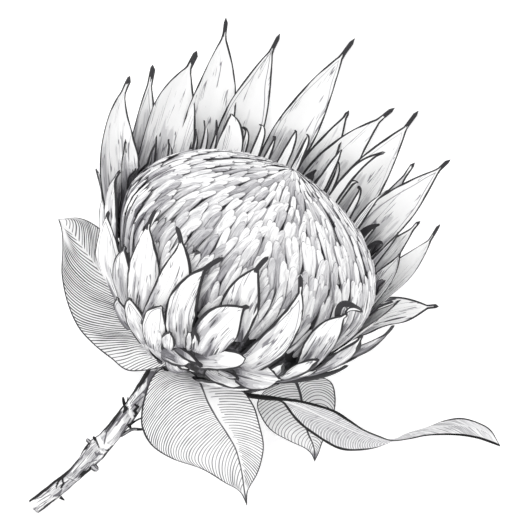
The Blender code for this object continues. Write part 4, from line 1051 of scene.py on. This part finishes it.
def add_floret(body, line, tip_at, azimuth, length, width, chance):
    """One finger along the dome's line, from its sunk root to its rounded tip at a distance from the apex."""
    t = 1 - (1 - np.linspace(0, 1, FLORET_RINGS)) ** FLORET_EASE
    away = tip_at + length * (1 - t)
    spots = np.stack([np.interp(away, line[:, 2], line[:, k]) for k in range(2)], axis=1)
    slope = np.stack([np.interp(away + 0.5, line[:, 2], line[:, k]) for k in range(2)], axis=1) - spots
    outward = unit(np.stack([-slope[:, 1], slope[:, 0]], axis=1))
    depth = FLORET_SINK * (1 - t) ** FLORET_TILT + FLORET_DEPTH + chance.uniform(-FLORET_LIFT, FLORET_LIFT)
    spots = spots - outward * depth[:, None]
    drift = chance.uniform(-FLORET_DRIFT, FLORET_DRIFT) * (1 - t) * width / np.maximum(spots[:, 0], 4)
    turn = azimuth + np.degrees(drift)
    centres = head_points(spots[:, 0], turn, spots[:, 1])
    radial, sideways = directions(turn)
    up = outward[:, :1] * radial + outward[:, 1:] * AXIS
    taper = np.sqrt(np.clip(1 - ((t - FLORET_SHOULDER) / FLORET_ROUND) ** 2, 0, 1))
    swell = np.where(t < FLORET_SHOULDER, mix(FLORET_ROOT, 1.0, t / FLORET_SHOULDER), taper)
    half = np.minimum(width / 2 * swell, APEX_CROWDING * spots[:, 0] + APEX_WIDTH)
    points, margin, across, along, tip = [], [], [], [], []
    for ring in range(FLORET_RINGS - 1):
        for side in np.arange(FLORET_SIDES) * 2 * np.pi / FLORET_SIDES:
            points.append(centres[ring] + sideways[ring] * half[ring] * math.sin(side)
                          + up[ring] * half[ring] * FLORET_FLAT * math.cos(side))
            facing = abs((side + np.pi) % (2 * np.pi) - np.pi)
            reach = (np.pi / 2 - facing) * half[ring]
            margin.append(max(min(reach, (1 - t[ring]) * length), 0))
            across.append((side + np.pi) % (2 * np.pi) * half[ring])
            along.append(t[ring] * length)
            tip.append((1 - t[ring]) * length)
    points.append(centres[-1])
    for values, value in ((margin, 0), (across, 0), (along, length), (tip, 0)):
        values.append(value)
    body.add(np.array(points), ring_faces(FLORET_RINGS - 1, FLORET_SIDES), margin=np.array(margin),
             across=np.array(across), along=np.array(along), tip=np.array(tip), chance=chance.random(),
             shade=floret_shade_and_highlight(azimuth, tip_at))


def floret_shade_and_highlight(azimuth, away):
    """Painted shade on the florets: more at the rim and the back, in uneven patches, and least where a
    painted highlight lies on the front of the dome.
    """
    angle = math.radians(azimuth)
    left, front, back = (max(side, 0.0) for side in (-math.sin(angle), math.cos(angle), -math.cos(angle)))
    # Painted shade at the rim, most on the left and in front, and on the back of the head.
    rim = min(max((away - RIM_START) / SHADE_FADE, 0.0), 1.0)
    rim = rim * (RIM_SHADE + RIM_LEFT * left ** 2 + RIM_FRONT * front ** 2)
    # Painted highlight: the florets are drawn lighter on the front of the dome, partway down from the apex.
    light = max(1 - abs(away - HIGHLIGHT_PLACE) / SHADE_FADE, 0.0) * max(math.cos(angle - HIGHLIGHT_TURN), 0.0)
    patches = math.sin(5 * angle + away / 9) * math.sin(away / 7 + 2 * math.sin(3 * angle))
    return rim + PATCH_SHADE * patches - HIGHLIGHT_STRENGTH * light + BACK_SHADE * back


def dome_line():
    """Radius, height and distance from the apex along the dome."""
    fine = smooth_line(FLORET_LINE, np.linspace(0, 1, DOME_STEPS))
    fine[:, 0] = np.maximum(fine[:, 0], 0)
    return np.column_stack([fine, line_length(fine)])


def make_florets():
    """The crown round the apex and the skirt below it: rows of florets, the last ones up from the cup."""
    crown, skirt = Body(), Body()
    line = dome_line()
    chance = random.Random(SEED + 3)
    away, row = FIRST_FLORETS, 0
    while away < RIM_PLACES[-1]:
        share = min(away / RIM_PLACES[0], 1)
        width = mix(*FLORET_WIDTH, share)
        shown = mix(*FLORET_SHOWN, share)
        length = shown * 2 + FLORET_COVERED
        if away > RIM_PLACES[0]:
            shown, length, width = RIM_STEP, line[-1, 2] - away, width * RIM_WIDTH
        around = 2 * math.pi * float(np.interp(away + 3, line[:, 2], line[:, 0]))
        count = max(round(around / (width * FLORET_SPACING)), 3)
        for number in range(count):
            azimuth = (number + row * 0.5 + chance.uniform(-FLORET_SHIFT, FLORET_SHIFT)) * 360 / count
            tip_at = max(away + shown * chance.uniform(-0.5, 0.5), 1.0)
            add_floret(crown if away < CROWN_EDGE else skirt, line, tip_at, azimuth,
                       length * chance.uniform(*LENGTH_SPREAD), width * chance.uniform(*WIDTH_SPREAD), chance)
        away += shown
        row += 1
    return crown, skirt


def stem_frames(places):
    """Centres, up and left vectors, and radii of the stem at places from 0 to 1."""
    here, after, before = (smooth_line(STEM_LINE, np.clip(places + step, 0, 1)) for step in (0, 0.01, -0.01))
    ahead = unit((after - before)[:, :3])
    up = unit(SKY - ahead * ahead[:, 2:3])
    return here[:, :3], up, np.cross(up, ahead), here[:, 3]


def mark_distance(points, marks):
    """How far points are from the nearest mark as seen from above, below 0 inside it."""
    nearest = np.full(points.shape[:-1], MARK_FAR)
    for mark in marks:
        for a, b in zip(np.array(mark[:-1]), np.array(mark[1:])):
            step = b[:2] - a[:2]
            share = np.clip((points[..., :2] - a[:2]) @ step / (step @ step), 0, 1)
            spot = a[:2] + share[..., None] * step
            away = np.linalg.norm(points[..., :2] - spot, axis=-1)
            nearest = np.minimum(nearest, away - mix(a[2], b[2], share))
    return nearest


def tube_grid(centre, up, left, reach):
    """Rings of points round a centre line, and the angle of each one from the upper side, from -pi to pi."""
    sides = reach.shape[1]
    turn = np.arange(sides) * 2 * np.pi / sides
    turn = np.broadcast_to(np.where(turn > np.pi, turn - 2 * np.pi, turn), reach.shape)
    outward = np.cos(turn)[..., None] * up[:, None] + np.sin(turn)[..., None] * left[:, None]
    return centre[:, None] + reach[..., None] * outward, turn


def add_tube(body, centre, points, turn, radius, **values):
    """A closed tube from its rings of points, with its ink's attributes."""
    values["across"] = turn * radius[:, None]
    values["along"] = np.broadcast_to(line_length(centre)[:, None], turn.shape)
    given = {name: np.append(value, value[-1].mean()) for name, value in values.items()}
    body.add(np.vstack([points.reshape(-1, 3), centre[-1:]]), ring_faces(*turn.shape), **given)


def make_stem():
    """The stem with its uneven bark and its marks, and the buds, stubs and twigs on it."""
    body = Body()
    places = np.linspace(0, 1, STEM_RINGS)
    centre, up, left, radius = stem_frames(places)
    turn = np.arange(STEM_SIDES) * 2 * np.pi / STEM_SIDES
    bark = sum(height * np.sin(round_waves * turn + long_waves * places[:, None] + phase)
               for height, round_waves, long_waves, phase in BARK_WAVES)
    reach = radius[:, None] + bark - BARK_INSET
    points, turn = tube_grid(centre, up, left, reach)
    # Painted shade: dark bands along the stem's left and right sides, widest on the left.
    edges = (np.interp(points[..., 1], *np.array(edge).T) for edge in (LEFT_SHADE_EDGE, RIGHT_SHADE_EDGE))
    edge = reach * (1 - np.abs(np.sin(turn))) - np.where(turn > 0, *edges)
    on_top = np.abs(turn) < np.pi / 2
    black, grey, white = (np.where(on_top, mark_distance(points, marks), MARK_FAR)
                          for marks in (BLACK_MARKS, GREY_MARKS, WHITE_MARKS))
    add_tube(body, centre, points, turn, radius, margin=np.minimum(edge, black), shade=grey, tip=white,
             tone=np.zeros(turn.shape))
    for dark, rows in STUBS:
        add_stub(body, dark, np.array(rows), centre)
    return body


def add_stub(body, dark, rows, stem):
    """A short tube on the stem, from rows of (x, y, height over the stem's centre line, radius)."""
    rows = smooth_line(rows, np.linspace(0, 1, STUB_RINGS))
    nearest = np.argmin(np.linalg.norm(stem[:, :2] - rows[0, :2], axis=-1))
    centre = np.column_stack([rows[:, :2], stem[nearest, 2] + rows[:, 2]])
    ahead = unit(np.gradient(centre, axis=0))
    up = unit(SKY - ahead * ahead[:, 2:3])
    turn = np.arange(STUB_SIDES) * 2 * np.pi / STUB_SIDES
    reach = rows[:, 3:] * (1 + STUB_KNOBS * np.sin(3 * turn + rows[0, 0]))
    points, turn = tube_grid(centre, up, np.cross(up, ahead), reach)
    edge = reach * (1 - np.abs(np.sin(turn))) - STUB_EDGE
    far = np.full(turn.shape, MARK_FAR)
    add_tube(body, centre, points, turn, rows[:, 3], margin=edge, shade=far, tip=far,
             tone=np.full(turn.shape, dark))


def leaf_stations(leaf):
    """The stations of the petiole and the blade, as (middle, left margin, right margin)."""
    place, angle = leaf["start"]
    centre, up, left, radius = (value[0] for value in stem_frames(np.array([place])))
    outward = up * math.cos(math.radians(angle)) + left * math.sin(math.radians(angle))
    start = centre + outward * (radius + GAP)
    middle = [start, start + outward * PETIOLE_RISE] + [np.array(point) for point in leaf["petiole"]]
    stations = []
    for index, point in enumerate(middle):
        after = middle[index + 1] if index + 1 < len(middle) else np.array(leaf["blade"][0][0])
        side = unit(np.cross(after - point, SKY)) * PETIOLE_RADIUS
        stations.append((point, point - side, point + side))
    return stations + leaf["blade"]


def vein_count(rows, out, station):
    """The number of side veins between the base and a place in one half of a leaf, for columns of places."""
    count, inner, outer, bow = np.array(rows, float).T
    result = np.empty(station.shape)
    for column in range(station.shape[1]):
        share = out[0, column]
        crossing = mix(inner, outer, share) - 4 * bow * share * (1 - share)
        result[:, column] = np.interp(station[:, column], crossing, count)
    return result


def spacing(points, count):
    """The distance between neighbouring veins on a grid of points, from the count at each point."""
    along, across = (np.gradient(points, axis=axis) for axis in (0, 1))
    step_along, step_across = (np.gradient(count, axis=axis) for axis in (0, 1))
    aa, ac, cc = (along * along).sum(-1), (along * across).sum(-1), (across * across).sum(-1)
    square = cc * step_along ** 2 - 2 * ac * step_along * step_across + aa * step_across ** 2
    area = np.maximum(aa * cc - ac * ac, 1e-12)
    return np.clip(1 / np.sqrt(np.maximum(square / area, 1e-6)), 0, VEIN_FAR)


def make_leaf(name, leaf):
    """A leaf with its petiole, its veins' places as attributes, and its station as its shade."""
    body = Body()
    stations = leaf_stations(leaf)
    petiole_stations = len(stations) - len(leaf["blade"])
    petiole_share = (petiole_stations - 1) / (len(stations) - 1)
    middles, lefts, rights = zip(*stations)

    def sides(u, v):
        margin = np.where((u < 0)[..., None], smooth_line(lefts, v), smooth_line(rights, v))
        return smooth_line(middles, v), margin

    def surface(u, v):
        return mix(*sides(u, v), np.abs(u)[..., None])

    def half_width(u, v):
        middle, margin = sides(u, v)
        return np.linalg.norm(margin - middle, axis=-1)

    def thickness(u, v):
        body_share = 1 - u * u
        stalk = 2 * PETIOLE_RADIUS * np.sqrt(np.maximum(body_share, 0))
        fade = np.maximum(0.0, 1 - (v - petiole_share) * PETIOLE_FADE)
        blade = mix(LEAF_THICK, 2 * PETIOLE_RADIUS, fade * (1 - np.abs(u))) * mix(THIN_MARGIN, 1, body_share)
        return np.where(v < petiole_share, stalk, blade)

    def station(u, v):
        return v * (len(stations) - 1) - petiole_stations

    def left_veins(u, v):
        return vein_count(VEINS[name][0], np.abs(u), station(u, v))

    def right_veins(u, v):
        return vein_count(VEINS[name][1], np.abs(u), station(u, v))

    def gap(u, v):
        points = surface(u, v)
        return np.where(u < 0, spacing(points, left_veins(u, v)), spacing(points, right_veins(u, v)))

    def relief(u, v):
        pleat = PLEAT_HEIGHT * np.cos(v * PLEAT_WAVES + u * u * PLEAT_BOW) * (1 - u * u)
        rib = -RIB_DEPTH * np.exp(-(u * half_width(u, v) / RIB_REACH) ** 2)
        return (pleat + rib) * np.clip((v - petiole_share) * RELIEF_RISE, 0, 1)

    def tone(u, v):
        return np.where(v < petiole_share, 1.0, 0.0)

    add_blade(body, surface, half_width, thickness, LEAF_GRID, relief, vein=left_veins,
              vein_right=right_veins, gap=gap, tone=tone, shade=station)
    return body


class Signal:
    """A number or a colour inside a material. It can be used in sums like a plain number."""

    def __init__(self, ink, socket):
        self.ink = ink
        self.socket = socket

    def __add__(self, other):
        return self.ink.math("ADD", self, other)

    def __sub__(self, other):
        return self.ink.math("SUBTRACT", self, other)

    def __rsub__(self, other):
        return self.ink.math("SUBTRACT", other, self)

    def __mul__(self, other):
        return self.ink.math("MULTIPLY", self, other)

    def __truediv__(self, other):
        return self.ink.math("DIVIDE", self, other)

    def __abs__(self):
        return self.ink.math("ABSOLUTE", self)


class Ink:
    """Builds the nodes of one material, whose colour is a grey worked out from the attributes."""

    def __init__(self, name, roughness, specular=SPECULAR):
        self.material = bpy.data.materials.new(name)
        self.material.use_nodes = True
        self.tree = self.material.node_tree
        self.shader = self.tree.nodes["Principled BSDF"]
        self.shader.inputs["Roughness"].default_value = roughness
        self.shader.inputs["Specular IOR Level"].default_value = specular
        self.shader.inputs["Metallic"].default_value = 0.0

    def link(self, source, socket):
        """Gives a socket a signal or a plain value."""
        if isinstance(source, Signal):
            self.tree.links.new(source.socket, socket)
        else:
            socket.default_value = source

    def value(self, name):
        """An attribute of the piece."""
        node = self.tree.nodes.new("ShaderNodeAttribute")
        node.attribute_name = name
        return Signal(self, node.outputs["Fac"])

    def math(self, operation, *terms, clamp=False):
        node = self.tree.nodes.new("ShaderNodeMath")
        node.operation = operation
        node.use_clamp = clamp
        for index, term in enumerate(terms):
            self.link(term, node.inputs[index])
        return Signal(self, node.outputs[0])

    def spot(self, x, y, z=0.0):
        """A place for noise."""
        node = self.tree.nodes.new("ShaderNodeCombineXYZ")
        for index, term in enumerate((x, y, z)):
            self.link(term, node.inputs[index])
        return Signal(self, node.outputs[0])

    def noise(self, spot, detail, scale=1.0):
        node = self.tree.nodes.new("ShaderNodeTexNoise")
        node.inputs["Scale"].default_value = scale
        node.inputs["Detail"].default_value = detail
        self.link(spot, node.inputs["Vector"])
        return Signal(self, node.outputs["Fac"])

    def stretched(self, across, along, detail, seed):
        """Noise drawn out along the piece, different on each one."""
        place = self.value("chance") * CHANCE_STEP + seed
        spot = self.spot(self.value("across") * across, self.value("along") * along, place)
        return self.noise(spot, detail)

    def step(self, value, low, high):
        """0 below low, 1 above high, and even between; with low above high it falls."""
        node = self.tree.nodes.new("ShaderNodeMapRange")
        node.clamp = True
        self.link(value, node.inputs["Value"])
        self.link(low, node.inputs["From Min"])
        self.link(high, node.inputs["From Max"])
        return Signal(self, node.outputs["Result"])

    def tones(self, value, stops):
        """Flat tones: each stop is (from value, grey)."""
        node = self.tree.nodes.new("ShaderNodeValToRGB")
        ramp = node.color_ramp
        ramp.interpolation = "CONSTANT"
        for index, (place, grey) in enumerate(stops):
            element = ramp.elements[index] if index < 2 else ramp.elements.new(place)
            element.position = place
            element.color = tint(grey)
        self.link(value, node.inputs["Fac"])
        return Signal(self, node.outputs["Color"])

    def over(self, under, ink, share):
        """One colour or grey laid over another by a share."""
        node = self.tree.nodes.new("ShaderNodeMix")
        node.data_type = "RGBA"
        self.link(share, node.inputs["Factor"])
        for colour, name in ((under, "A"), (ink, "B")):
            self.link(colour if isinstance(colour, Signal) else tint(colour), node.inputs[name])
        return Signal(self, node.outputs["Result"])

    def finish(self, colour, height=None, depth=BUMP_DEPTH):
        self.link(colour, self.shader.inputs["Base Color"])
        if height is not None:
            bump = self.tree.nodes.new("ShaderNodeBump")
            bump.inputs["Distance"].default_value = depth
            bump.inputs["Strength"].default_value = BUMP_STRENGTH
            self.link(height, bump.inputs["Height"])
            self.tree.links.new(bump.outputs["Normal"], self.shader.inputs["Normal"])
        return self.material


def tint(level):
    """A slightly cool grey, as linear colour, from its level on the page between 0 and 255."""
    def linear(value):
        value = min(max(value, 0), WHITE) / WHITE
        return value / 12.92 if value <= 0.04045 else ((value + 0.055) / 1.055) ** 2.4

    cool = COOLNESS * min(level, WHITE - level) / MIDDLE_GREY
    return linear(level - cool / 2), linear(level - cool), linear(level + cool), 1.0


def bract_ink(name, dark_to, white_from, line, blotch):
    """White blades with grey washes of painted shade from the root, thin strokes, a dark margin and a
    charcoal tip.
    """
    ink = Ink(name, BRACT_ROUGHNESS)
    along, margin = ink.value("along"), ink.value("margin")
    # Painted shade: the wash darkens towards the root, where the bract goes in among the others, and with its
    # shade.
    place = (along - dark_to) / (white_from - dark_to)
    depth = (ink.stretched(*WASH_NOISE) - 0.5) * blotch - place + ink.value("shade") * WASH_SHADE
    colour = ink.tones(ink.math("MULTIPLY", depth + 1.0, WASH_GAIN, clamp=True), WASH_TONES)
    threads = ink.stretched(*THREAD_NOISE)
    reach = ink.step(along, mix(dark_to, white_from, THREAD_REACH), dark_to)
    shown = ink.step(ink.stretched(*THREAD_BREAKS) + reach * THREAD_FADE, *THREAD_SHOWN)
    colour = ink.over(colour, THREAD_GREY, ink.step(abs(threads - 0.5), *THREAD_LINE) * shown)
    strokes = ink.stretched(*STROKE_NOISE) - place * STROKE_FADE
    colour = ink.over(colour, STROKE_GREY, ink.step(strokes, *STROKE_SHOWN))
    fold = ink.stretched(*FOLD_NOISE) * FOLD_SWING + FOLD_EDGE
    fold = ink.step(abs(margin - fold), *FOLD_LINE) * ink.step(ink.value("chance"), *FOLD_CHANCE)
    colour = ink.over(colour, FOLD_GREY, fold)
    edge = ink.step(ink.stretched(*PRESSURE_NOISE), *PRESSED) * line + EDGE_WIDTH
    colour = ink.over(colour, EDGE_GREY, ink.step(margin, edge + EDGE_SOFT, edge))
    limit = ink.value("tone") * (ink.stretched(*TIP_NOISE) * TIP_SWING + TIP_LEAST)
    colour = ink.over(colour, TIP_GREY, ink.step(ink.value("tip") - limit, *TIP_LINE))
    return ink.finish(colour, threads)


def floret_ink():
    """White and light grey fingers with a thin outline, greyer towards their roots with painted shade where
    they go under the others, dark at the rim with painted shade, and lighter where a painted highlight lies.
    """
    ink = Ink("floret_ink", FLORET_ROUGHNESS)
    shade, chance = ink.value("shade"), ink.value("chance")
    patch = ink.stretched(*FLORET_NOISE) - 0.5
    depth = patch * FLORET_BLOTCH + ink.math("POWER", chance, 2.0) * CHANCE_WASH
    # Painted shade: each floret greys towards its root, where it goes under the others.
    depth = depth + ink.value("tip") * PAINTED_ROOT_SHADE
    depth = depth + (chance - CHANCE_MIDDLE) * (ink.math("MAXIMUM", shade, 0.0) * SHADED_CHANCE)
    depth = ink.math("ADD", depth, shade * SHADE_WASH, clamp=True)
    colour = ink.tones(depth, FLORET_TONES)
    edge = ink.step(ink.stretched(*FLORET_PRESSURE), *FLORET_PRESSED) * FLORET_WEIGHT
    edge = edge + ink.step(shade, 0.0, 1.0) * SHADED_WEIGHT + FLORET_EDGE
    line_grey = ink.over(*FLORET_GREYS, ink.step(shade, *FLORET_SHADED))
    colour = ink.over(colour, line_grey, ink.step(ink.value("margin"), edge + EDGE_SOFT, edge))
    return ink.finish(colour, patch)


def leaf_ink(name, ground, vein, line, rib, rib_width, band, margin, edges, hatched, grey_tip, turned_at,
             petiole):
    """Pale blade with side veins, a midrib in a bare band, and a dark margin, from a row of LEAF_LOOKS."""
    ink = Ink(name + "_ink", LEAF_ROUGHNESS)
    across, station, on_petiole = ink.value("across"), ink.value("shade"), ink.value("tone")
    from_rib = abs(across)
    right = ink.step(across, *MIDRIB)
    count = ink.value("vein") + (ink.value("vein_right") - ink.value("vein")) * right

    def by_vein(count, steps, scale, seed):
        return ink.noise(ink.spot(count * steps, across * scale, seed), 1.0)

    off = abs(ink.math("FRACT", count) - 0.5) * ink.value("gap")
    weight = by_vein(ink.math("FLOOR", count), *VEIN_WEIGHT)
    pressed = ink.step(weight, *VEIN_PRESSED)
    half = (pressed + 0.5) * line
    lines = ink.step(off, half + VEIN_SOFT, half) * ink.step(ink.value("gap"), *VEIN_CROWDED)
    in_band = ink.step(station, *BAND_START) * ink.step(station, *BAND_END)
    bare = (pressed + 0.3) * band * in_band + BAND_LEAST
    covered = ink.step(from_rib, bare + BAND_SOFT, bare) * right
    lines = lines * (1.0 - on_petiole) * (1.0 - covered)
    colour = ink.over(ground, vein, lines)
    if vein > ground:
        grain = by_vein(count, *GRAIN_NOISE)
        colour = ink.over(colour, GRAIN_GREY, ink.step(grain, *GRAIN_SHOWN) * ink.step(lines, 0.5, 0.0))
        back = ink.over(*BACK_GREYS, ink.step(grain, *BACK_GRAIN))
        back = ink.over(back, BACK_VEIN, lines * ink.step(weight, *BACK_PRESSED))
        colour = ink.over(colour, back, ink.step(station, turned_at, turned_at + BACK_FADE))
    base = ink.step(station, hatched + HATCH_FADE, hatched) * ink.step(from_rib, *HATCH_REACH)
    colour = ink.over(colour, HATCH_GREY, base * ink.step(by_vein(count, *HATCH_NOISE), *HATCH_SHOWN))
    colour = ink.over(colour, LEAF_TIP_GREY, ink.step(station, grey_tip, grey_tip + LEAF_TIP_FADE))
    colour = ink.over(colour, petiole, on_petiole)
    wobble = ink.noise(ink.spot(across * WOBBLE_SCALE, ink.value("along") * WOBBLE_SCALE, WOBBLE_SEED), 3.0)
    if rib_width:
        pressure = ink.step(wobble, *WOBBLE_RANGE) * 0.3 + 0.7
        reach = pressure * (ink.step(station, *RIB_BASE) + 1.0) * rib_width
        front = ink.step(station, turned_at, turned_at - RIB_FADE)
        colour = ink.over(colour, rib, ink.step(from_rib, reach + RIB_SOFT, reach) * front)
    edge = right * (edges[1] - edges[0]) + edges[0]
    edge = edge - (edge - TURNED_EDGE) * ink.step(station, turned_at - TURN_LENGTH, turned_at)
    edge = edge * (wobble * 0.9 + 0.5)
    colour = ink.over(colour, margin, ink.step(ink.value("margin"), edge + LEAF_EDGE_SOFT, edge))
    return ink.finish(colour)


def stem_ink():
    """Pale bark with lengthwise strokes, dark edges of painted shade along its sides, and the black, grey and
    white marks.
    """
    ink = Ink("stem_ink", STEM_ROUGHNESS)
    margin = ink.value("margin")
    colour = ink.tones(ink.stretched(*BARK_NOISE), BARK_TONES)
    strokes = ink.stretched(*BARK_STROKES)
    thin = ink.step(abs(strokes - 0.5), *BARK_LINE) * ink.step(ink.stretched(*BARK_BREAKS), *BARK_SHOWN)
    colour = ink.over(colour, BARK_GREY, thin)
    colour = ink.over(colour, WHITE, ink.step(ink.value("tip"), *WHITE_MARK))
    colour = ink.over(colour, MARK_GREY, ink.step(ink.value("shade"), *GREY_MARK))
    # Grey fringe round the dark edges and the black marks, which widens the painted shade on the sides.
    fringe = margin + ink.stretched(*FRINGE_NOISE) * FRINGE_WIDTH
    colour = ink.over(colour, FRINGE_GREY, ink.step(fringe, *FRINGE_EDGE))
    ragged = (ink.stretched(*RAGGED_NOISE) - 0.5) * RAGGED_WIDTH
    colour = ink.over(colour, MARK_BLACK, ink.step(margin + ragged, *BLACK_MARK))
    colour = ink.over(colour, MARK_BLACK, ink.step(ink.value("tone"), *DARK_STUB))
    return ink.finish(colour, strokes, BARK_BUMP)


def gap_shade_ink(name, dark, light, grain):
    """A mottled grey painted as the shade that shows between the pieces."""
    ink = Ink(name, PLAIN_ROUGHNESS)
    patch = ink.noise(ink.spot(ink.value("across") * grain, ink.value("along") * (grain * 0.5)), 3.0)
    return ink.finish(ink.tones(patch, [(0.0, dark), (0.5, (dark + light) / 2), (0.6, light)]), patch)


def make_camera():
    data = bpy.data.cameras.new("camera")
    data.lens = LENS
    data.sensor_width = SENSOR
    data.clip_start, data.clip_end = CLIPPING
    camera = bpy.data.objects.new("camera", data)
    bpy.context.scene.collection.objects.link(camera)
    distance = VIEW_WIDTH / 2 / (SENSOR / 2 / LENS)
    camera.location = (VIEW_CENTRE[0] * MM, VIEW_CENTRE[1] * MM, (VIEW_HEIGHT + distance) * MM)
    bpy.context.scene.camera = camera


def make_floor():
    """White paper under the flower, which isn't part of it."""
    corners = [(x * FLOOR_REACH, y * FLOOR_REACH, 0) for x, y in ((-1, -1), (1, -1), (1, 1), (-1, 1))]
    mesh = bpy.data.meshes.new("floor")
    mesh.from_pydata(corners, [], [(0, 1, 2, 3)])
    floor = bpy.data.objects.new("floor", mesh)
    bpy.context.scene.collection.objects.link(floor)
    paper = Ink("paper", PAPER_ROUGHNESS, 0.0)
    spot = Signal(paper, paper.tree.nodes.new("ShaderNodeTexCoord").outputs["Object"])
    paper.shader.inputs["Emission Color"].default_value = (1, 1, 1, 1)
    paper.shader.inputs["Emission Strength"].default_value = PAPER_GLOW
    mesh.materials.append(paper.finish(paper.tones(paper.noise(spot, 2.0, PAPER_GRAIN), PAPER_TONES)))


def make_lights():
    world = bpy.data.worlds.new("world")
    bpy.context.scene.world = world
    world.use_nodes = True
    sky = world.node_tree.nodes["Background"]
    sky.inputs["Color"].default_value = (1, 1, 1, 1)
    sky.inputs["Strength"].default_value = SKY_STRENGTH
    for name, power, size, place in LAMPS:
        light = bpy.data.lights.new(name, "AREA")
        light.energy = power
        light.size = size
        lamp = bpy.data.objects.new(name, light)
        lamp.location = place
        lamp.rotation_mode = "QUATERNION"
        lamp.rotation_quaternion = (-Vector(place)).to_track_quat("-Z", "Y")
        bpy.context.scene.collection.objects.link(lamp)
    bpy.context.scene.view_settings.view_transform = "Standard"


make_camera()
make_floor()
make_lights()

make_tall_bracts().piece("bracts_tall", bract_ink("tall_bract_ink", *TALL_LOOK), "bracts", ["bracts"])
make_front_bracts().piece("bracts_front", bract_ink("front_bract_ink", *FRONT_LOOK), "bracts", ["bracts"])
make_scales().piece("bract_scales", bract_ink("scale_ink", *SCALE_LOOK), "bracts", ["bracts"])
make_under_bracts().piece("bracts_under", bract_ink("under_bract_ink", *UNDER_LOOK), "bracts", ["bracts"])
make_spikes().piece("bract_spikes", bract_ink("spike_ink", *SPIKE_LOOK), "bracts", ["bracts"])
# The cup is drawn charcoal as painted shade between the bracts.
make_cup().piece("cup", gap_shade_ink("cup_shade_ink", *CUP_SHADE), "bracts", ["bracts"])
crown, skirt = make_florets()
floret_finish = floret_ink()
crown.piece("florets_crown", floret_finish, "florets", ["florets"])
skirt.piece("florets_skirt", floret_finish, "florets", ["florets"])
# The core is drawn grey as painted shade between the florets.
make_core().piece("floret_core", gap_shade_ink("core_shade_ink", *CORE_SHADE), "florets", ["florets"])
make_stem().piece("stem_wood", stem_ink(), "stem", ["stem"])
for leaf_name, leaf in LEAVES.items():
    leaf_finish = leaf_ink(leaf_name, **LEAF_LOOKS[leaf_name])
    make_leaf(leaf_name, leaf).piece(leaf_name + "_blade", leaf_finish, "leaf", [leaf_name])
